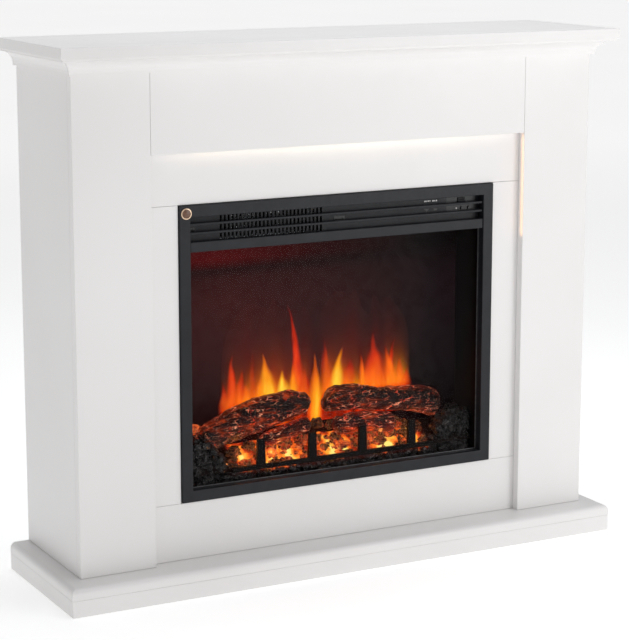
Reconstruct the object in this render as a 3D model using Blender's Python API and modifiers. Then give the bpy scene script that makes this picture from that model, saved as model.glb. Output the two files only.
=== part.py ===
"""Freestanding electric fireplace: a painted board surround around a log-effect insert.

Units are metres, +Z is up. The origin is the middle of the footprint, on the floor.
The front faces -Y and the back plane, which stands against a wall, faces +Y.
"""

import math

import bmesh
import bpy
from mathutils import Matrix, Vector

# Fits
GAP = 0.0003
SLIDING_CLEARANCE = 0.0004

# Surround
HEIGHT = 1.025
BODY_WIDTH = 1.100
BODY_DEPTH = 0.275
BOARD = 0.018
BOARD_ROUND = 0.0010
MANTEL_THICKNESS = 0.020
MANTEL_SIDE_OVERHANG = 0.036
MANTEL_FRONT_OVERHANG = 0.050
CORNICE_HEIGHT = 0.032
CORNICE_SETBACK = 0.004
CORNICE_FILLET = 0.004
CORNICE_FOOT_SHARE = 0.2
HEARTH_SIDE_OVERHANG = 0.037
HEARTH_FRONT_OVERHANG = 0.053
HEARTH_SLAB = 0.021
HEARTH_NOSE = 0.011
PLINTH_HEIGHT = 0.032
PILASTER_WIDTH = 0.151
FRIEZE_HEIGHT = 0.181
INFILL_LAP = 0.030
REAR_RAIL_HEIGHT = 0.080
BRACKET_LEG = 0.030
BRACKET_STEEL = 0.002
BRACKET_DROP = 0.070
BRACKET_HOLE = 0.003

# Downlight under the frieze
LIGHT_LENGTH = 0.720
LIGHT_WIDTH = 0.010
LIGHT_DEPTH = 0.008
LIGHT_WALL = 0.0008

# Insert
INSERT_WIDTH = 0.676
INSERT_HEIGHT = 0.562
INSERT_BOTTOM = 0.1645
INSERT_CLEARANCE = 0.001
TRIM_BAR = 0.022
TRIM_PROUD = 0.0043
TRIM_DEPTH = 0.0188
TRIM_ROUND = 0.0012
CASING_SETBACK = 0.008
SHEET = 0.0012
LOUVRE_ZONE = 0.047
CROSSBAR_HEIGHT = 0.019
CROSSBAR_SETBACK = 0.0015
CROSSBAR_DEPTH = 0.012
GLASS = 0.004
GLASS_ROUND = 0.0005
GLASS_SIDE_LAP = 0.006
GLASS_FOOT_LAP = 0.008
SCREEN_SETBACK = 0.1013
SCREEN = 0.003
SCREEN_RISE = 0.012
LINER = 0.002

# Slotted grille
SLOT_COUNT = 27
SLOT_ROWS = 3
SLOT_PITCH = 0.00807
SLOT_WIDTH = 0.0042
SLOT_HEIGHT = 0.0115
SLOT_START = 0.068
ROW_PITCH = 0.0165
ROW_DROP = 0.0090
LOUVRE_SETBACK = 0.0035
LOUVRE_ROUND = 0.0014
LOUVRE_DEPTH = 0.010
LOUVRE_THICKNESS = 0.0047
LOUVRE_DROP = 0.0147
VENT_COUNT = 16
VENT_PITCH = 0.014
VENT_RISE = 0.014
VENT_DROP = 0.012

# Controls
CONTROL_WIDTH = 0.072
CONTROL_INSET = 0.004
CONTROL_PLATE = 0.002
CONTROL_MARGIN = 0.0085
CONTROL_HOLE_INSET = 0.002
ROCKER_WIDTH = 0.016
ROCKER_HEIGHT = 0.0085
ROCKER_THROW = math.radians(16)
ROCKER_FRONT = 0.0036
ROCKER_DISH = 0.0012
ROCKER_REAR = 0.0022
ROCKER_EASE = 0.0006
BUTTON_RADIUS = 0.0030
BUTTON_PROUD = 0.0014
BUTTON_FLANGE = 0.001
BUTTON_PITCH = 0.016
BUTTON_OFFSET = 0.002
LENS_RADIUS = 0.0016
LENS_OFFSET = -0.011
BADGE_RADIUS = 0.0105
BADGE_RISE = 0.0016
BADGE_IN = 0.0135
BADGE_DOWN = 0.0150

# Fire bed
BED_FRONT = 0.0160
BED_STEP = 0.0100
BED_LOW = 0.0380
BED_HIGH = 0.0570
BED_SLOPE = 0.004
BED_SKIN = 0.003
COAL_TOP = 0.0285
HEAP_TOP = 0.0900
HEAP_WIDTH = 0.0850
GRATE_MARGIN = 0.009
GRATE_BAR = 0.0080
GRATE_POST = 0.020
GRATE_POSTS = 4
GRATE_POST_SHIFT = 0.005
GRATE_POST_TOP = 0.0880
LOG_LIFT = 0.0045
REAR_LOG_SHARE = 0.49
NEAR_LOG_SHARE = 0.245

# Flame unit and heater
ROTOR_SHAFT = 0.0025
ROTOR_REACH = 0.019
ROTOR_SETBACK = 0.038
ROTOR_RISE = 0.062
ROTOR_END_GAP = 0.030
FLAG_COUNT = 14
FLAG_SHARE = 0.36
FLAG_THICKNESS = 0.0008
BUSH_RADIUS = 0.008
BUSH_LENGTH = 0.018
BUSH_SEAT = 0.006
MOTOR_RADIUS = 0.021
MOTOR_LENGTH = 0.022
HOUSING_RADIUS = 0.0287
HOUSING_THROAT = 0.058
BLOWER_RADIUS = 0.021
BLOWER_BLADES = 12
BLOWER_SHAFT = 0.002
BLOWER_SETBACK = 0.098
BLOWER_END_GAP = 0.004
BLOWER_TAIL = 0.012
DISC_THICKNESS = 0.0012
DISC_INSET = 0.003
BLADE_THICKNESS = 0.0008
BLADE_SPAN = (0.0145, 0.0195)
PORT_MARGIN = 0.006
PORT_HALF = 0.012
FIN_COUNT = 24
FIN_THICKNESS = 0.001
FIN_HALF = 0.020
FIN_LAP = 0.003
ELEMENT_SETBACK = 0.020
ELEMENT_BAR = 0.004
CASING_CLEAR_OF_WALL = 0.054
LED_COUNT = 15
LED_CHIP = 0.005
LED_STRIP_MARGIN = 0.035
LED_STRIP_HALF = 0.009
LED_STRIP_RISE = 0.004
LED_STRIP_THICKNESS = 0.0016
GLAND_INSET = 0.060
GLAND_RISE = 0.045
GLAND_NECK = 0.0060

# Places worked out from the sizes above
Y_BACK = (BODY_DEPTH + HEARTH_FRONT_OVERHANG) / 2
Y_BODY = Y_BACK - BODY_DEPTH
Y_INFILL = Y_BODY + BOARD + GAP
HALF_BODY = BODY_WIDTH / 2
INNER_HALF = HALF_BODY - BOARD - GAP
Z_BODY = PLINTH_HEIGHT + GAP + HEARTH_SLAB + GAP
Z_MANTEL = HEIGHT - MANTEL_THICKNESS
Z_BOARD_TOP = Z_MANTEL - GAP
Z_FRIEZE = Z_MANTEL - FRIEZE_HEIGHT
OPENING_HALF = HALF_BODY - PILASTER_WIDTH
INSERT_HALF = INSERT_WIDTH / 2
INSERT_TOP = INSERT_BOTTOM + INSERT_HEIGHT
Y_TRIM = Y_INFILL - TRIM_PROUD
Y_TRIM_BACK = Y_TRIM + TRIM_DEPTH
WINDOW_HALF = INSERT_HALF - TRIM_BAR
WINDOW_BOTTOM = INSERT_BOTTOM + TRIM_BAR
WINDOW_TOP = INSERT_TOP - TRIM_BAR
Z_CROSSBAR = WINDOW_TOP - LOUVRE_ZONE
CASING_HALF = INSERT_HALF - CASING_SETBACK
CASING_FLOOR = INSERT_BOTTOM + CASING_SETBACK
CASING_ROOF = INSERT_TOP - CASING_SETBACK
CASING_FRONT = Y_TRIM_BACK + GAP
CASING_BACK = Y_BACK - CASING_CLEAR_OF_WALL
INNER_CASING = CASING_HALF - SHEET
FLOOR = CASING_FLOOR + SHEET + GAP
Z_GLASS_TOP = Z_CROSSBAR - CROSSBAR_HEIGHT / 2
Y_BEHIND_GLASS = CASING_FRONT + GLASS + GAP
Y_SCREEN = Y_TRIM + SCREEN_SETBACK
Z_DECK = Z_GLASS_TOP + 2 * GAP
BLOWER_SPAN = (-WINDOW_HALF + SLOT_START - SLOT_WIDTH, -WINDOW_HALF + SLOT_START + SLOT_COUNT * SLOT_PITCH)
ROTOR_PLACE = (Y_SCREEN + ROTOR_SETBACK, FLOOR + ROTOR_RISE)
Z_BLOWER = Z_DECK + SHEET + GAP + HOUSING_RADIUS
Y_BLOWER = CASING_FRONT + BLOWER_SETBACK
CONTROL_X = (WINDOW_HALF - CONTROL_INSET - CONTROL_WIDTH, WINDOW_HALF - CONTROL_INSET)
CONTROL_MID = sum(CONTROL_X) / 2
LENS_X = CONTROL_MID + LENS_OFFSET
GLAND_X = CASING_HALF - GLAND_INSET
GLAND_Z = CASING_FLOOR + GLAND_RISE
GRATE_HALF = WINDOW_HALF - HEAP_WIDTH - GRATE_MARGIN
GRATE_BACK = Y_BEHIND_GLASS + GRATE_BAR
BED_DEPTH = Y_SCREEN - GRATE_BACK
ROW_Z = [WINDOW_TOP - ROW_DROP - row * ROW_PITCH for row in range(SLOT_ROWS)]


def clear_scene():
    for old in list(bpy.data.objects):
        bpy.data.objects.remove(old)


def collection(name, hidden=False):
    made = bpy.data.collections.new(name)
    bpy.context.scene.collection.children.link(made)
    made.hide_render = hidden
    return made


def finish(name, colour, roughness, metallic=0.0, emission=0.0):
    made = bpy.data.materials.new(name)
    made.use_nodes = True
    shader = made.node_tree.nodes["Principled BSDF"]
    shader.inputs["Base Color"].default_value = (*colour, 1.0)
    shader.inputs["Roughness"].default_value = roughness
    shader.inputs["Metallic"].default_value = metallic
    if emission:
        shader.inputs["Emission Color"].default_value = (*colour, 1.0)
        shader.inputs["Emission Strength"].default_value = emission
    return made


clear_scene()
PARTS = collection("electric_fireplace")
CUTTERS = collection("cutters", hidden=True)
WHITE = finish("white_paint", (0.82, 0.81, 0.79), 0.35)
BLACK = finish("black_steel", (0.035, 0.037, 0.042), 0.45, 0.6)
LINING = finish("liner_black", (0.012, 0.011, 0.011), 0.6)
GALVANISED = finish("galvanised_steel", (0.55, 0.56, 0.57), 0.4, 0.9)
GLAZING = finish("glass", (0.75, 0.78, 0.8), 0.05)
SCREEN_FINISH = finish("flame_screen", (0.05, 0.025, 0.025), 0.3)
CHARRED = finish("charred_log", (0.06, 0.03, 0.02), 0.9)
EMBER = finish("ember", (1.0, 0.3, 0.04), 0.6, 0.0, 2.0)
COAL = finish("coal", (0.015, 0.015, 0.016), 0.7)
IRON = finish("cast_iron", (0.02, 0.02, 0.02), 0.6, 0.5)
ALUMINIUM = finish("aluminium", (0.8, 0.8, 0.82), 0.3, 1.0)
DIFFUSER = finish("diffuser", (1.0, 0.93, 0.82), 0.5, 0.0, 2.0)
PLASTIC = finish("black_plastic", (0.02, 0.02, 0.022), 0.4)
BOARD_GREEN = finish("circuit_board", (0.02, 0.12, 0.06), 0.5)
BRONZE = finish("badge_bronze", (0.55, 0.36, 0.24), 0.35, 0.8)


def add_box(bm, x, y, z):
    """A box from (low, high) along each axis."""
    made = bmesh.ops.create_cube(bm, size=1.0)["verts"]
    bmesh.ops.scale(bm, vec=(x[1] - x[0], y[1] - y[0], z[1] - z[0]), verts=made)
    bmesh.ops.translate(bm, vec=(sum(x) / 2, sum(y) / 2, sum(z) / 2), verts=made)
    return made


def add_rod(bm, x, y, z, radius, sides=24):
    """A cylinder along X from x[0] to x[1]."""
    place = Matrix.Translation((sum(x) / 2, y, z)) @ Matrix.Rotation(math.pi / 2, 4, "Y")
    bmesh.ops.create_cone(
        bm, cap_ends=True, segments=sides, radius1=radius, radius2=radius, depth=x[1] - x[0], matrix=place
    )


def add_peg(bm, x, y, z, radius, sides=20):
    """A cylinder along Y from y[0] to y[1]."""
    place = Matrix.Translation((x, sum(y) / 2, z)) @ Matrix.Rotation(math.pi / 2, 4, "X")
    bmesh.ops.create_cone(
        bm, cap_ends=True, segments=sides, radius1=radius, radius2=radius, depth=y[1] - y[0], matrix=place
    )


def placed(name, bm, look=None, origin=(0.0, 0.0, 0.0)):
    """An object from the bmesh, its origin moved to the given point. Without a look it is a cutter."""
    bmesh.ops.translate(bm, vec=-Vector(origin), verts=bm.verts)
    bmesh.ops.recalc_face_normals(bm, faces=bm.faces)
    mesh = bpy.data.meshes.new(name)
    bm.to_mesh(mesh)
    bm.free()
    made = bpy.data.objects.new(name, mesh)
    made.location = origin
    if look is None:
        CUTTERS.objects.link(made)
        made.hide_render = True
        made.display_type = "WIRE"
    else:
        PARTS.objects.link(made)
        mesh.materials.append(look)
    return made


def rounded(made, width, segments=2):
    bevel = made.modifiers.new("Bevel", "BEVEL")
    bevel.width = width
    bevel.segments = segments
    bevel.limit_method = "ANGLE"
    bevel.angle_limit = math.radians(40)
    return made


def board(name, x, y, z, look=WHITE, edge=BOARD_ROUND):
    bm = bmesh.new()
    add_box(bm, x, y, z)
    made = placed(name, bm, look, (sum(x) / 2, sum(y) / 2, sum(z) / 2))
    return rounded(made, edge) if edge else made


def boolean(target, other, operation):
    step = target.modifiers.new(other.name, "BOOLEAN")
    step.operation = operation
    step.solver = "EXACT"
    step.object = other
    return target


def cut(target, bm):
    return boolean(target, placed(target.name + "_cutter", bm), "DIFFERENCE")


def join(target, bm):
    return boolean(target, placed(target.name + "_addition", bm), "UNION")


def extruded(outline, axis, low, high):
    """A bmesh from an outline of (a, b) points, pulled along X, with (a, b) = (y, z), or Y, with (x, z)."""
    bm = bmesh.new()
    if axis == "X":
        points = [(low, a, b) for a, b in outline]
        reach = (high - low, 0, 0)
    else:
        points = [(a, low, b) for a, b in outline]
        reach = (0, high - low, 0)
    face = bm.faces.new([bm.verts.new(point) for point in points])
    made = bmesh.ops.extrude_face_region(bm, geom=[face])["geom"]
    ends = [item for item in made if isinstance(item, bmesh.types.BMVert)]
    bmesh.ops.translate(bm, vec=reach, verts=ends)
    return bm


def smooth(made, degrees=35):
    made.data.shade_smooth()
    made.data.set_sharp_from_angle(angle=math.radians(degrees))
    return made


def sides():
    return (("left", -1), ("right", 1))


def across(side, inner, outer):
    """The X range of a piece on one side, from its distances from the middle."""
    return (inner, outer) if side > 0 else (-outer, -inner)


# ---------------------------------------------------------------- surround


def make_mantel():
    half = HALF_BODY + MANTEL_SIDE_OVERHANG
    board("mantel_shelf", (-half, half), (Y_BODY - MANTEL_FRONT_OVERHANG, Y_BACK), (Z_MANTEL, HEIGHT))


def cornice_outline():
    """(projection share, z) points: a top fillet, a shallow cove and a foot fillet."""
    top = Z_MANTEL - GAP
    foot = Z_MANTEL - CORNICE_HEIGHT
    points = [(0.0, top), (1.0, top), (1.0, top - CORNICE_FILLET)]
    steps = 6
    for step in range(steps + 1):
        turn = math.pi / 2 * step / steps
        share = CORNICE_FOOT_SHARE + (0.9 - CORNICE_FOOT_SHARE) * (1 - math.sin(turn) ** 1.25)
        rise = (top - CORNICE_FILLET) - (top - foot - 2 * CORNICE_FILLET) * (1 - math.cos(turn))
        points.append((share, rise))
    points += [(CORNICE_FOOT_SHARE, foot), (0.0, foot)]
    return points


def make_cornices():
    front_reach = MANTEL_FRONT_OVERHANG - CORNICE_SETBACK
    side_reach = MANTEL_SIDE_OVERHANG - CORNICE_SETBACK
    outline = [(Y_BODY - GAP - front_reach * share, z) for share, z in cornice_outline()]
    bm = extruded(outline, "X", -HALF_BODY, HALF_BODY)
    for vert in bm.verts:
        share = (Y_BODY - GAP - vert.co.y) / front_reach
        vert.co.x += math.copysign(side_reach * share, vert.co.x)
    smooth(placed("front_cornice", bm, WHITE), 30)
    for name, side in sides():
        wall = HALF_BODY + GAP
        outline = [(side * (wall + side_reach * share), z) for share, z in cornice_outline()]
        bm = extruded(outline, "Y", Y_BODY, Y_BACK)
        for vert in bm.verts:
            if vert.co.y < Y_BODY + BOARD:
                vert.co.y -= front_reach * (abs(vert.co.x) - wall) / side_reach
        smooth(placed(name + "_cornice", bm, WHITE), 30)


def make_carcass():
    for name, side in sides():
        board(
            name + "_pilaster",
            across(side, OPENING_HALF, HALF_BODY),
            (Y_BODY, Y_BODY + BOARD),
            (Z_BODY, Z_BOARD_TOP),
        )
        board(
            name + "_side_panel",
            across(side, HALF_BODY - BOARD, HALF_BODY),
            (Y_BODY + BOARD + GAP, Y_BACK),
            (Z_BODY, Z_BOARD_TOP),
        )
    board("rear_top_rail", (-INNER_HALF, INNER_HALF), (Y_BACK - BOARD, Y_BACK),
          (Z_BOARD_TOP - REAR_RAIL_HEIGHT, Z_BOARD_TOP))
    board("insert_shelf", (-INNER_HALF, INNER_HALF), (Y_INFILL + BOARD + GAP, Y_BACK),
          (CASING_FLOOR - GAP - BOARD, CASING_FLOOR - GAP))


def make_frieze():
    half = OPENING_HALF - GAP
    frieze = board("frieze_board", (-half, half), (Y_BODY, Y_BODY + BOARD), (Z_FRIEZE, Z_BOARD_TOP))
    middle = Y_BODY + BOARD / 2
    groove = bmesh.new()
    reach = LIGHT_LENGTH / 2
    add_box(groove, (-reach, reach), (middle - LIGHT_WIDTH / 2, middle + LIGHT_WIDTH / 2),
            (Z_FRIEZE - BOARD, Z_FRIEZE + LIGHT_DEPTH))
    cut(frieze, groove)


def make_downlight():
    middle = Y_BODY + BOARD / 2
    half = LIGHT_WIDTH / 2 - GAP
    reach = LIGHT_LENGTH / 2 - GAP
    top = Z_FRIEZE + LIGHT_DEPTH - GAP
    inner = half - LIGHT_WALL
    outline = [
        (middle - half, Z_FRIEZE),
        (middle - half, top),
        (middle + half, top),
        (middle + half, Z_FRIEZE),
        (middle + inner, Z_FRIEZE),
        (middle + inner, top - LIGHT_WALL),
        (middle - inner, top - LIGHT_WALL),
        (middle - inner, Z_FRIEZE),
    ]
    placed("light_channel", extruded(outline, "X", -reach, reach), ALUMINIUM)
    board("light_diffuser", (-reach, reach), (middle - inner + GAP, middle + inner - GAP),
          (Z_FRIEZE + LIGHT_WALL, Z_FRIEZE + 3 * LIGHT_WALL), DIFFUSER, 0)


def make_infill():
    """The recessed boards behind the pilasters and the frieze, around the insert."""
    outer = OPENING_HALF + INFILL_LAP
    depth = (Y_INFILL, Y_INFILL + BOARD)
    low = INSERT_BOTTOM - INSERT_CLEARANCE
    high = INSERT_TOP + INSERT_CLEARANCE
    board("lower_infill_rail", (-outer, outer), depth, (Z_BODY, low))
    board("upper_infill_rail", (-outer, outer), depth, (high, Z_FRIEZE + INFILL_LAP))
    for name, side in sides():
        board(name + "_infill_stile", across(side, INSERT_HALF + INSERT_CLEARANCE, outer), depth,
              (low + GAP, high - GAP))


def make_hearth():
    half = HALF_BODY + HEARTH_SIDE_OVERHANG
    front = Y_BODY - HEARTH_FRONT_OVERHANG
    low = PLINTH_HEIGHT + GAP
    bm = bmesh.new()
    add_box(bm, (-half, half), (front, Y_BACK), (low, low + HEARTH_SLAB))
    nosed = [
        edge
        for edge in bm.edges
        if all(vert.co.z > low + HEARTH_SLAB / 2 for vert in edge.verts)
        and not all(vert.co.y > 0 for vert in edge.verts)
    ]
    bmesh.ops.bevel(bm, geom=nosed, offset=HEARTH_NOSE, segments=6, profile=0.5, affect="EDGES")
    smooth(placed("hearth_top", bm, WHITE), 50)
    board("front_plinth", (-half, half), (front, front + BOARD), (0, PLINTH_HEIGHT))
    for name, side in sides():
        board(name + "_plinth", across(side, half - BOARD, half), (front + BOARD + GAP, Y_BACK),
              (0, PLINTH_HEIGHT))


def make_wall_brackets():
    """Steel angles that fix the back edges of the side panels to a wall."""
    leg = BRACKET_LEG
    steel = BRACKET_STEEL
    low = Z_BOARD_TOP - REAR_RAIL_HEIGHT - BRACKET_DROP
    for name, side in sides():
        wall = side * INNER_HALF
        outline = [
            (wall, Y_BACK),
            (wall - side * leg, Y_BACK),
            (wall - side * leg, Y_BACK - steel),
            (wall - side * steel, Y_BACK - steel),
            (wall - side * steel, Y_BACK - leg),
            (wall, Y_BACK - leg),
        ]
        bm = bmesh.new()
        face = bm.faces.new([bm.verts.new((x, y, low)) for x, y in outline])
        ends = bmesh.ops.extrude_face_region(bm, geom=[face])["geom"]
        lifted = [item for item in ends if isinstance(item, bmesh.types.BMVert)]
        bmesh.ops.translate(bm, vec=(0, 0, leg), verts=lifted)
        bracket = placed(name + "_wall_bracket", bm, GALVANISED)
        hole = bmesh.new()
        through = (Y_BACK - 3 * steel, Y_BACK + steel)
        add_peg(hole, wall - side * leg * 0.6, through, low + leg / 2, BRACKET_HOLE)
        cut(bracket, hole)


# ---------------------------------------------------------------- insert shell


def make_trim():
    bm = bmesh.new()
    add_box(bm, (-INSERT_HALF, INSERT_HALF), (Y_TRIM, Y_TRIM_BACK), (INSERT_BOTTOM, INSERT_TOP))
    trim = placed("trim_frame", bm, BLACK)
    window = bmesh.new()
    add_box(window, (-WINDOW_HALF, WINDOW_HALF), (Y_TRIM - BOARD, Y_TRIM_BACK + BOARD),
            (WINDOW_BOTTOM, WINDOW_TOP))
    cut(trim, window)
    rounded(trim, TRIM_ROUND)
    half = WINDOW_HALF - GAP
    front = Y_TRIM + CROSSBAR_SETBACK
    board("trim_crossbar", (-half, half), (front, front + CROSSBAR_DEPTH),
          (Z_CROSSBAR - CROSSBAR_HEIGHT, Z_CROSSBAR), BLACK, TRIM_ROUND)


def make_louvres():
    depth = (Y_TRIM + LOUVRE_SETBACK, Y_TRIM + LOUVRE_SETBACK + LOUVRE_DEPTH)
    half = WINDOW_HALF - GAP
    for number, name in enumerate(("upper_louvre", "lower_louvre")):
        top = WINDOW_TOP - LOUVRE_DROP - number * ROW_PITCH + LOUVRE_THICKNESS / 2
        board(name, (-half, half), depth, (top - LOUVRE_THICKNESS, top), BLACK, LOUVRE_ROUND)


def make_grille():
    half = WINDOW_HALF + GLASS_SIDE_LAP
    depth = (CASING_FRONT, CASING_FRONT + SHEET)
    grille = board("slotted_grille", (-half, half), depth,
                   (Z_GLASS_TOP + GAP, CASING_ROOF - SHEET - GAP), BLACK, 0)
    slots = bmesh.new()
    through = (depth[0] - SHEET, depth[1] + SHEET)
    for z in ROW_Z:
        for number in range(SLOT_COUNT):
            x = -WINDOW_HALF + SLOT_START + number * SLOT_PITCH
            add_box(slots, (x, x + SLOT_WIDTH), through, (z - SLOT_HEIGHT / 2, z + SLOT_HEIGHT / 2))
    inset = CONTROL_HOLE_INSET
    add_box(slots, (CONTROL_X[0] + inset, CONTROL_X[1] - inset), through,
            (ROW_Z[1] - SLOT_HEIGHT / 2, ROW_Z[0] + SLOT_HEIGHT / 2))
    cut(grille, slots)


def make_glass():
    half = WINDOW_HALF + GLASS_SIDE_LAP
    board("front_glass", (-half, half), (CASING_FRONT, CASING_FRONT + GLASS),
          (WINDOW_BOTTOM - GLASS_FOOT_LAP, Z_GLASS_TOP), GLAZING, GLASS_ROUND)


def make_casing():
    depth = (CASING_FRONT, CASING_BACK - GAP)
    inner = INNER_CASING - GAP
    for name, side in sides():
        board("casing_" + name, across(side, INNER_CASING, CASING_HALF), depth, (CASING_FLOOR, CASING_ROOF),
              GALVANISED, 0)
    board("casing_bottom", (-inner, inner), depth, (CASING_FLOOR, CASING_FLOOR + SHEET), GALVANISED, 0)
    board("casing_top", (-inner, inner), depth, (CASING_ROOF - SHEET, CASING_ROOF), GALVANISED, 0)
    back = board("casing_back", (-CASING_HALF, CASING_HALF), (CASING_BACK, CASING_BACK + SHEET),
                 (CASING_FLOOR, CASING_ROOF), GALVANISED, 0)
    holes = bmesh.new()
    through = (CASING_BACK - SHEET, CASING_BACK + 2 * SHEET)
    for number in range(VENT_COUNT):
        x = BLOWER_SPAN[0] + (number + 0.5) * VENT_PITCH
        add_box(holes, (x, x + VENT_PITCH / 3), through, (Z_DECK + VENT_RISE, CASING_ROOF - VENT_DROP))
    add_peg(holes, GLAND_X, through, GLAND_Z, GLAND_NECK + GAP)
    cut(back, holes)


def make_liners():
    for name, side in sides():
        board(name + "_liner", across(side, WINDOW_HALF + GAP, WINDOW_HALF + GAP + LINER),
              (Y_BEHIND_GLASS, Y_SCREEN + SCREEN), (FLOOR, Z_DECK - GAP), LINING, 0)
    half = WINDOW_HALF
    board("flame_screen", (-half, half), (Y_SCREEN, Y_SCREEN + SCREEN),
          (FLOOR + SCREEN_RISE, Z_DECK - GAP), SCREEN_FINISH, 0)
    inner = INNER_CASING - GAP
    board("heater_deck", (-inner, inner), (Y_BEHIND_GLASS, CASING_BACK - 2 * GAP), (Z_DECK, Z_DECK + SHEET),
          GALVANISED, 0)


# ---------------------------------------------------------------- fire bed


def make_ember_bed():
    """A moulded bed, open underneath, that rises in steps behind the grate."""
    front = Y_BEHIND_GLASS + BED_FRONT
    back = Y_SCREEN - GAP
    skin = BED_SKIN
    outline = [
        (front, FLOOR),
        (front, FLOOR + BED_LOW),
        (front + BED_STEP, FLOOR + BED_HIGH),
        (back, FLOOR + BED_HIGH + BED_SLOPE),
        (back, FLOOR + BED_HIGH),
        (back - skin, FLOOR + BED_HIGH),
        (front + BED_STEP + skin, FLOOR + BED_HIGH - skin),
        (front + skin, FLOOR + BED_LOW),
        (front + skin, FLOOR),
    ]
    half = WINDOW_HALF - 2 * GAP
    placed("ember_bed", extruded(outline, "X", -half, half), EMBER)


def make_coal_bed():
    """The coal bank in front: low behind the window, heaped at both ends."""
    half = WINDOW_HALF - 2 * GAP
    low = FLOOR + COAL_TOP
    outline = [(half, FLOOR), (half, FLOOR + HEAP_TOP)]
    steps = 6
    for step in range(1, steps + 1):
        turn = math.pi / 2 * step / steps
        rise = (FLOOR + HEAP_TOP - low) * math.cos(turn) ** 1.5
        outline.append((half - HEAP_WIDTH * math.sin(turn), low + rise))
    outline += [(-x, z) for x, z in reversed(outline)]
    depth = (Y_BEHIND_GLASS + GAP, GRATE_BACK)
    placed("coal_bed", extruded(outline, "Y", *depth), COAL)


def make_grate():
    depth = (Y_BEHIND_GLASS + GAP, GRATE_BACK)
    low = FLOOR + COAL_TOP + GAP
    grate = board("fire_grate", (-GRATE_HALF, GRATE_HALF), depth, (low, low + GRATE_BAR), IRON, 0)
    posts = bmesh.new()
    top = FLOOR + GRATE_POST_TOP
    inset = (depth[0] + GAP, depth[1] - GAP)
    pitch = 2 * GRATE_HALF / GRATE_POSTS
    for number in range(GRATE_POSTS):
        x = (number - (GRATE_POSTS - 1) / 2) * pitch + GRATE_POST_SHIFT
        wide = GRATE_POST / 2
        add_box(posts, (x - wide, x + wide), inset, (low + GRATE_BAR / 2, top))
    shoulders = [
        edge
        for edge in posts.edges
        if all(vert.co.z > top - GAP for vert in edge.verts)
        and abs(edge.verts[0].co.x - edge.verts[1].co.x) < GAP
    ]
    bmesh.ops.bevel(
        posts,
        geom=shoulders,
        offset=GRATE_POST * 0.35,
        segments=3,
        profile=0.5,
        affect="EDGES",
    )
    join(grate, posts)


def make_log(name, y, points):
    """A log as a thick curve. Each point is the place across the window as a share of its half width,
    the gap under the log, and the log's radius as a share of the bed's depth."""
    data = bpy.data.curves.new(name, "CURVE")
    data.dimensions = "3D"
    data.bevel_depth = 1.0
    data.bevel_resolution = 4
    data.use_fill_caps = True
    spline = data.splines.new("POLY")
    spline.points.add(len(points) - 1)
    top = FLOOR + BED_HIGH + LOG_LIFT
    for point, (share, under, thickness) in zip(spline.points, points):
        radius = thickness * BED_DEPTH
        point.co = (share * WINDOW_HALF, y, top + under + radius, 1.0)
        point.radius = radius
    made = bpy.data.objects.new(name, data)
    PARTS.objects.link(made)
    data.materials.append(CHARRED)


def make_logs():
    rear = Y_SCREEN - REAR_LOG_SHARE * BED_DEPTH
    near = GRATE_BACK + NEAR_LOG_SHARE * BED_DEPTH
    make_log("left_log", rear, [
        (-0.905, 0.0005, 0.316),
        (-0.791, 0.0015, 0.388),
        (-0.585, 0.0170, 0.417),
        (-0.332, 0.0340, 0.374),
        (-0.165, 0.0440, 0.316),
        (-0.114, 0.0470, 0.244),
    ])
    make_log("right_log", rear, [
        (-0.010, 0.0470, 0.187),
        (0.063, 0.0490, 0.302),
        (0.301, 0.0390, 0.330),
        (0.554, 0.0310, 0.330),
        (0.775, 0.0220, 0.374),
        (0.797, 0.0275, 0.287),
    ])
    make_log("lower_left_log", near, [
        (-0.475, 0.0005, 0.115),
        (-0.316, 0.0010, 0.201),
        (-0.152, 0.0030, 0.230),
    ])
    make_log("lower_right_log", near, [
        (0.038, 0.0030, 0.201),
        (0.237, 0.0010, 0.230),
        (0.430, 0.0010, 0.201),
    ])


# ---------------------------------------------------------------- flame unit


def make_rotor():
    """A shaft with bright flags that throws moving light up the flame screen."""
    y, z = ROTOR_PLACE
    reach = WINDOW_HALF - ROTOR_END_GAP
    bm = bmesh.new()
    add_rod(bm, (-reach, reach), y, z, ROTOR_SHAFT, 12)
    rotor = placed("flame_rotor", bm, ALUMINIUM, (0.0, y, z))
    flags = bmesh.new()
    pitch = 2 * (reach - ROTOR_END_GAP) / FLAG_COUNT
    wide = pitch * FLAG_SHARE
    thin = FLAG_THICKNESS / 2
    for number in range(FLAG_COUNT):
        x = (number - (FLAG_COUNT - 1) / 2) * pitch
        made = add_box(flags, (-wide, wide), (-ROTOR_REACH, ROTOR_REACH), (-thin, thin))
        turn = Matrix.Rotation(math.radians(67) * number, 4, "X") @ Matrix.Rotation(math.radians(9), 4, "Y")
        bmesh.ops.transform(flags, matrix=Matrix.Translation((x, y, z)) @ turn, verts=made)
    addition = placed("flame_rotor_addition", flags)
    boolean(rotor, addition, "UNION")
    return reach


def make_rotor_drive(reach):
    y, z = ROTOR_PLACE
    seat = BUSH_SEAT
    bush = bmesh.new()
    add_rod(bush, (-reach + seat - BUSH_LENGTH, -reach + seat), y, z, BUSH_RADIUS, 20)
    made = smooth(placed("rotor_bush", bush, PLASTIC))
    bore = bmesh.new()
    add_rod(bore, (-reach - GAP, -reach + 2 * seat), y, z, ROTOR_SHAFT + SLIDING_CLEARANCE, 12)
    cut(made, bore)
    motor = bmesh.new()
    add_rod(motor, (reach - seat, INNER_CASING - GAP), y, z, MOTOR_RADIUS, 32)
    made = smooth(placed("rotor_motor", motor, GALVANISED))
    bore = bmesh.new()
    add_rod(bore, (reach - 2 * seat, reach + GAP), y, z, ROTOR_SHAFT + SLIDING_CLEARANCE, 12)
    cut(made, bore)


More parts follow.
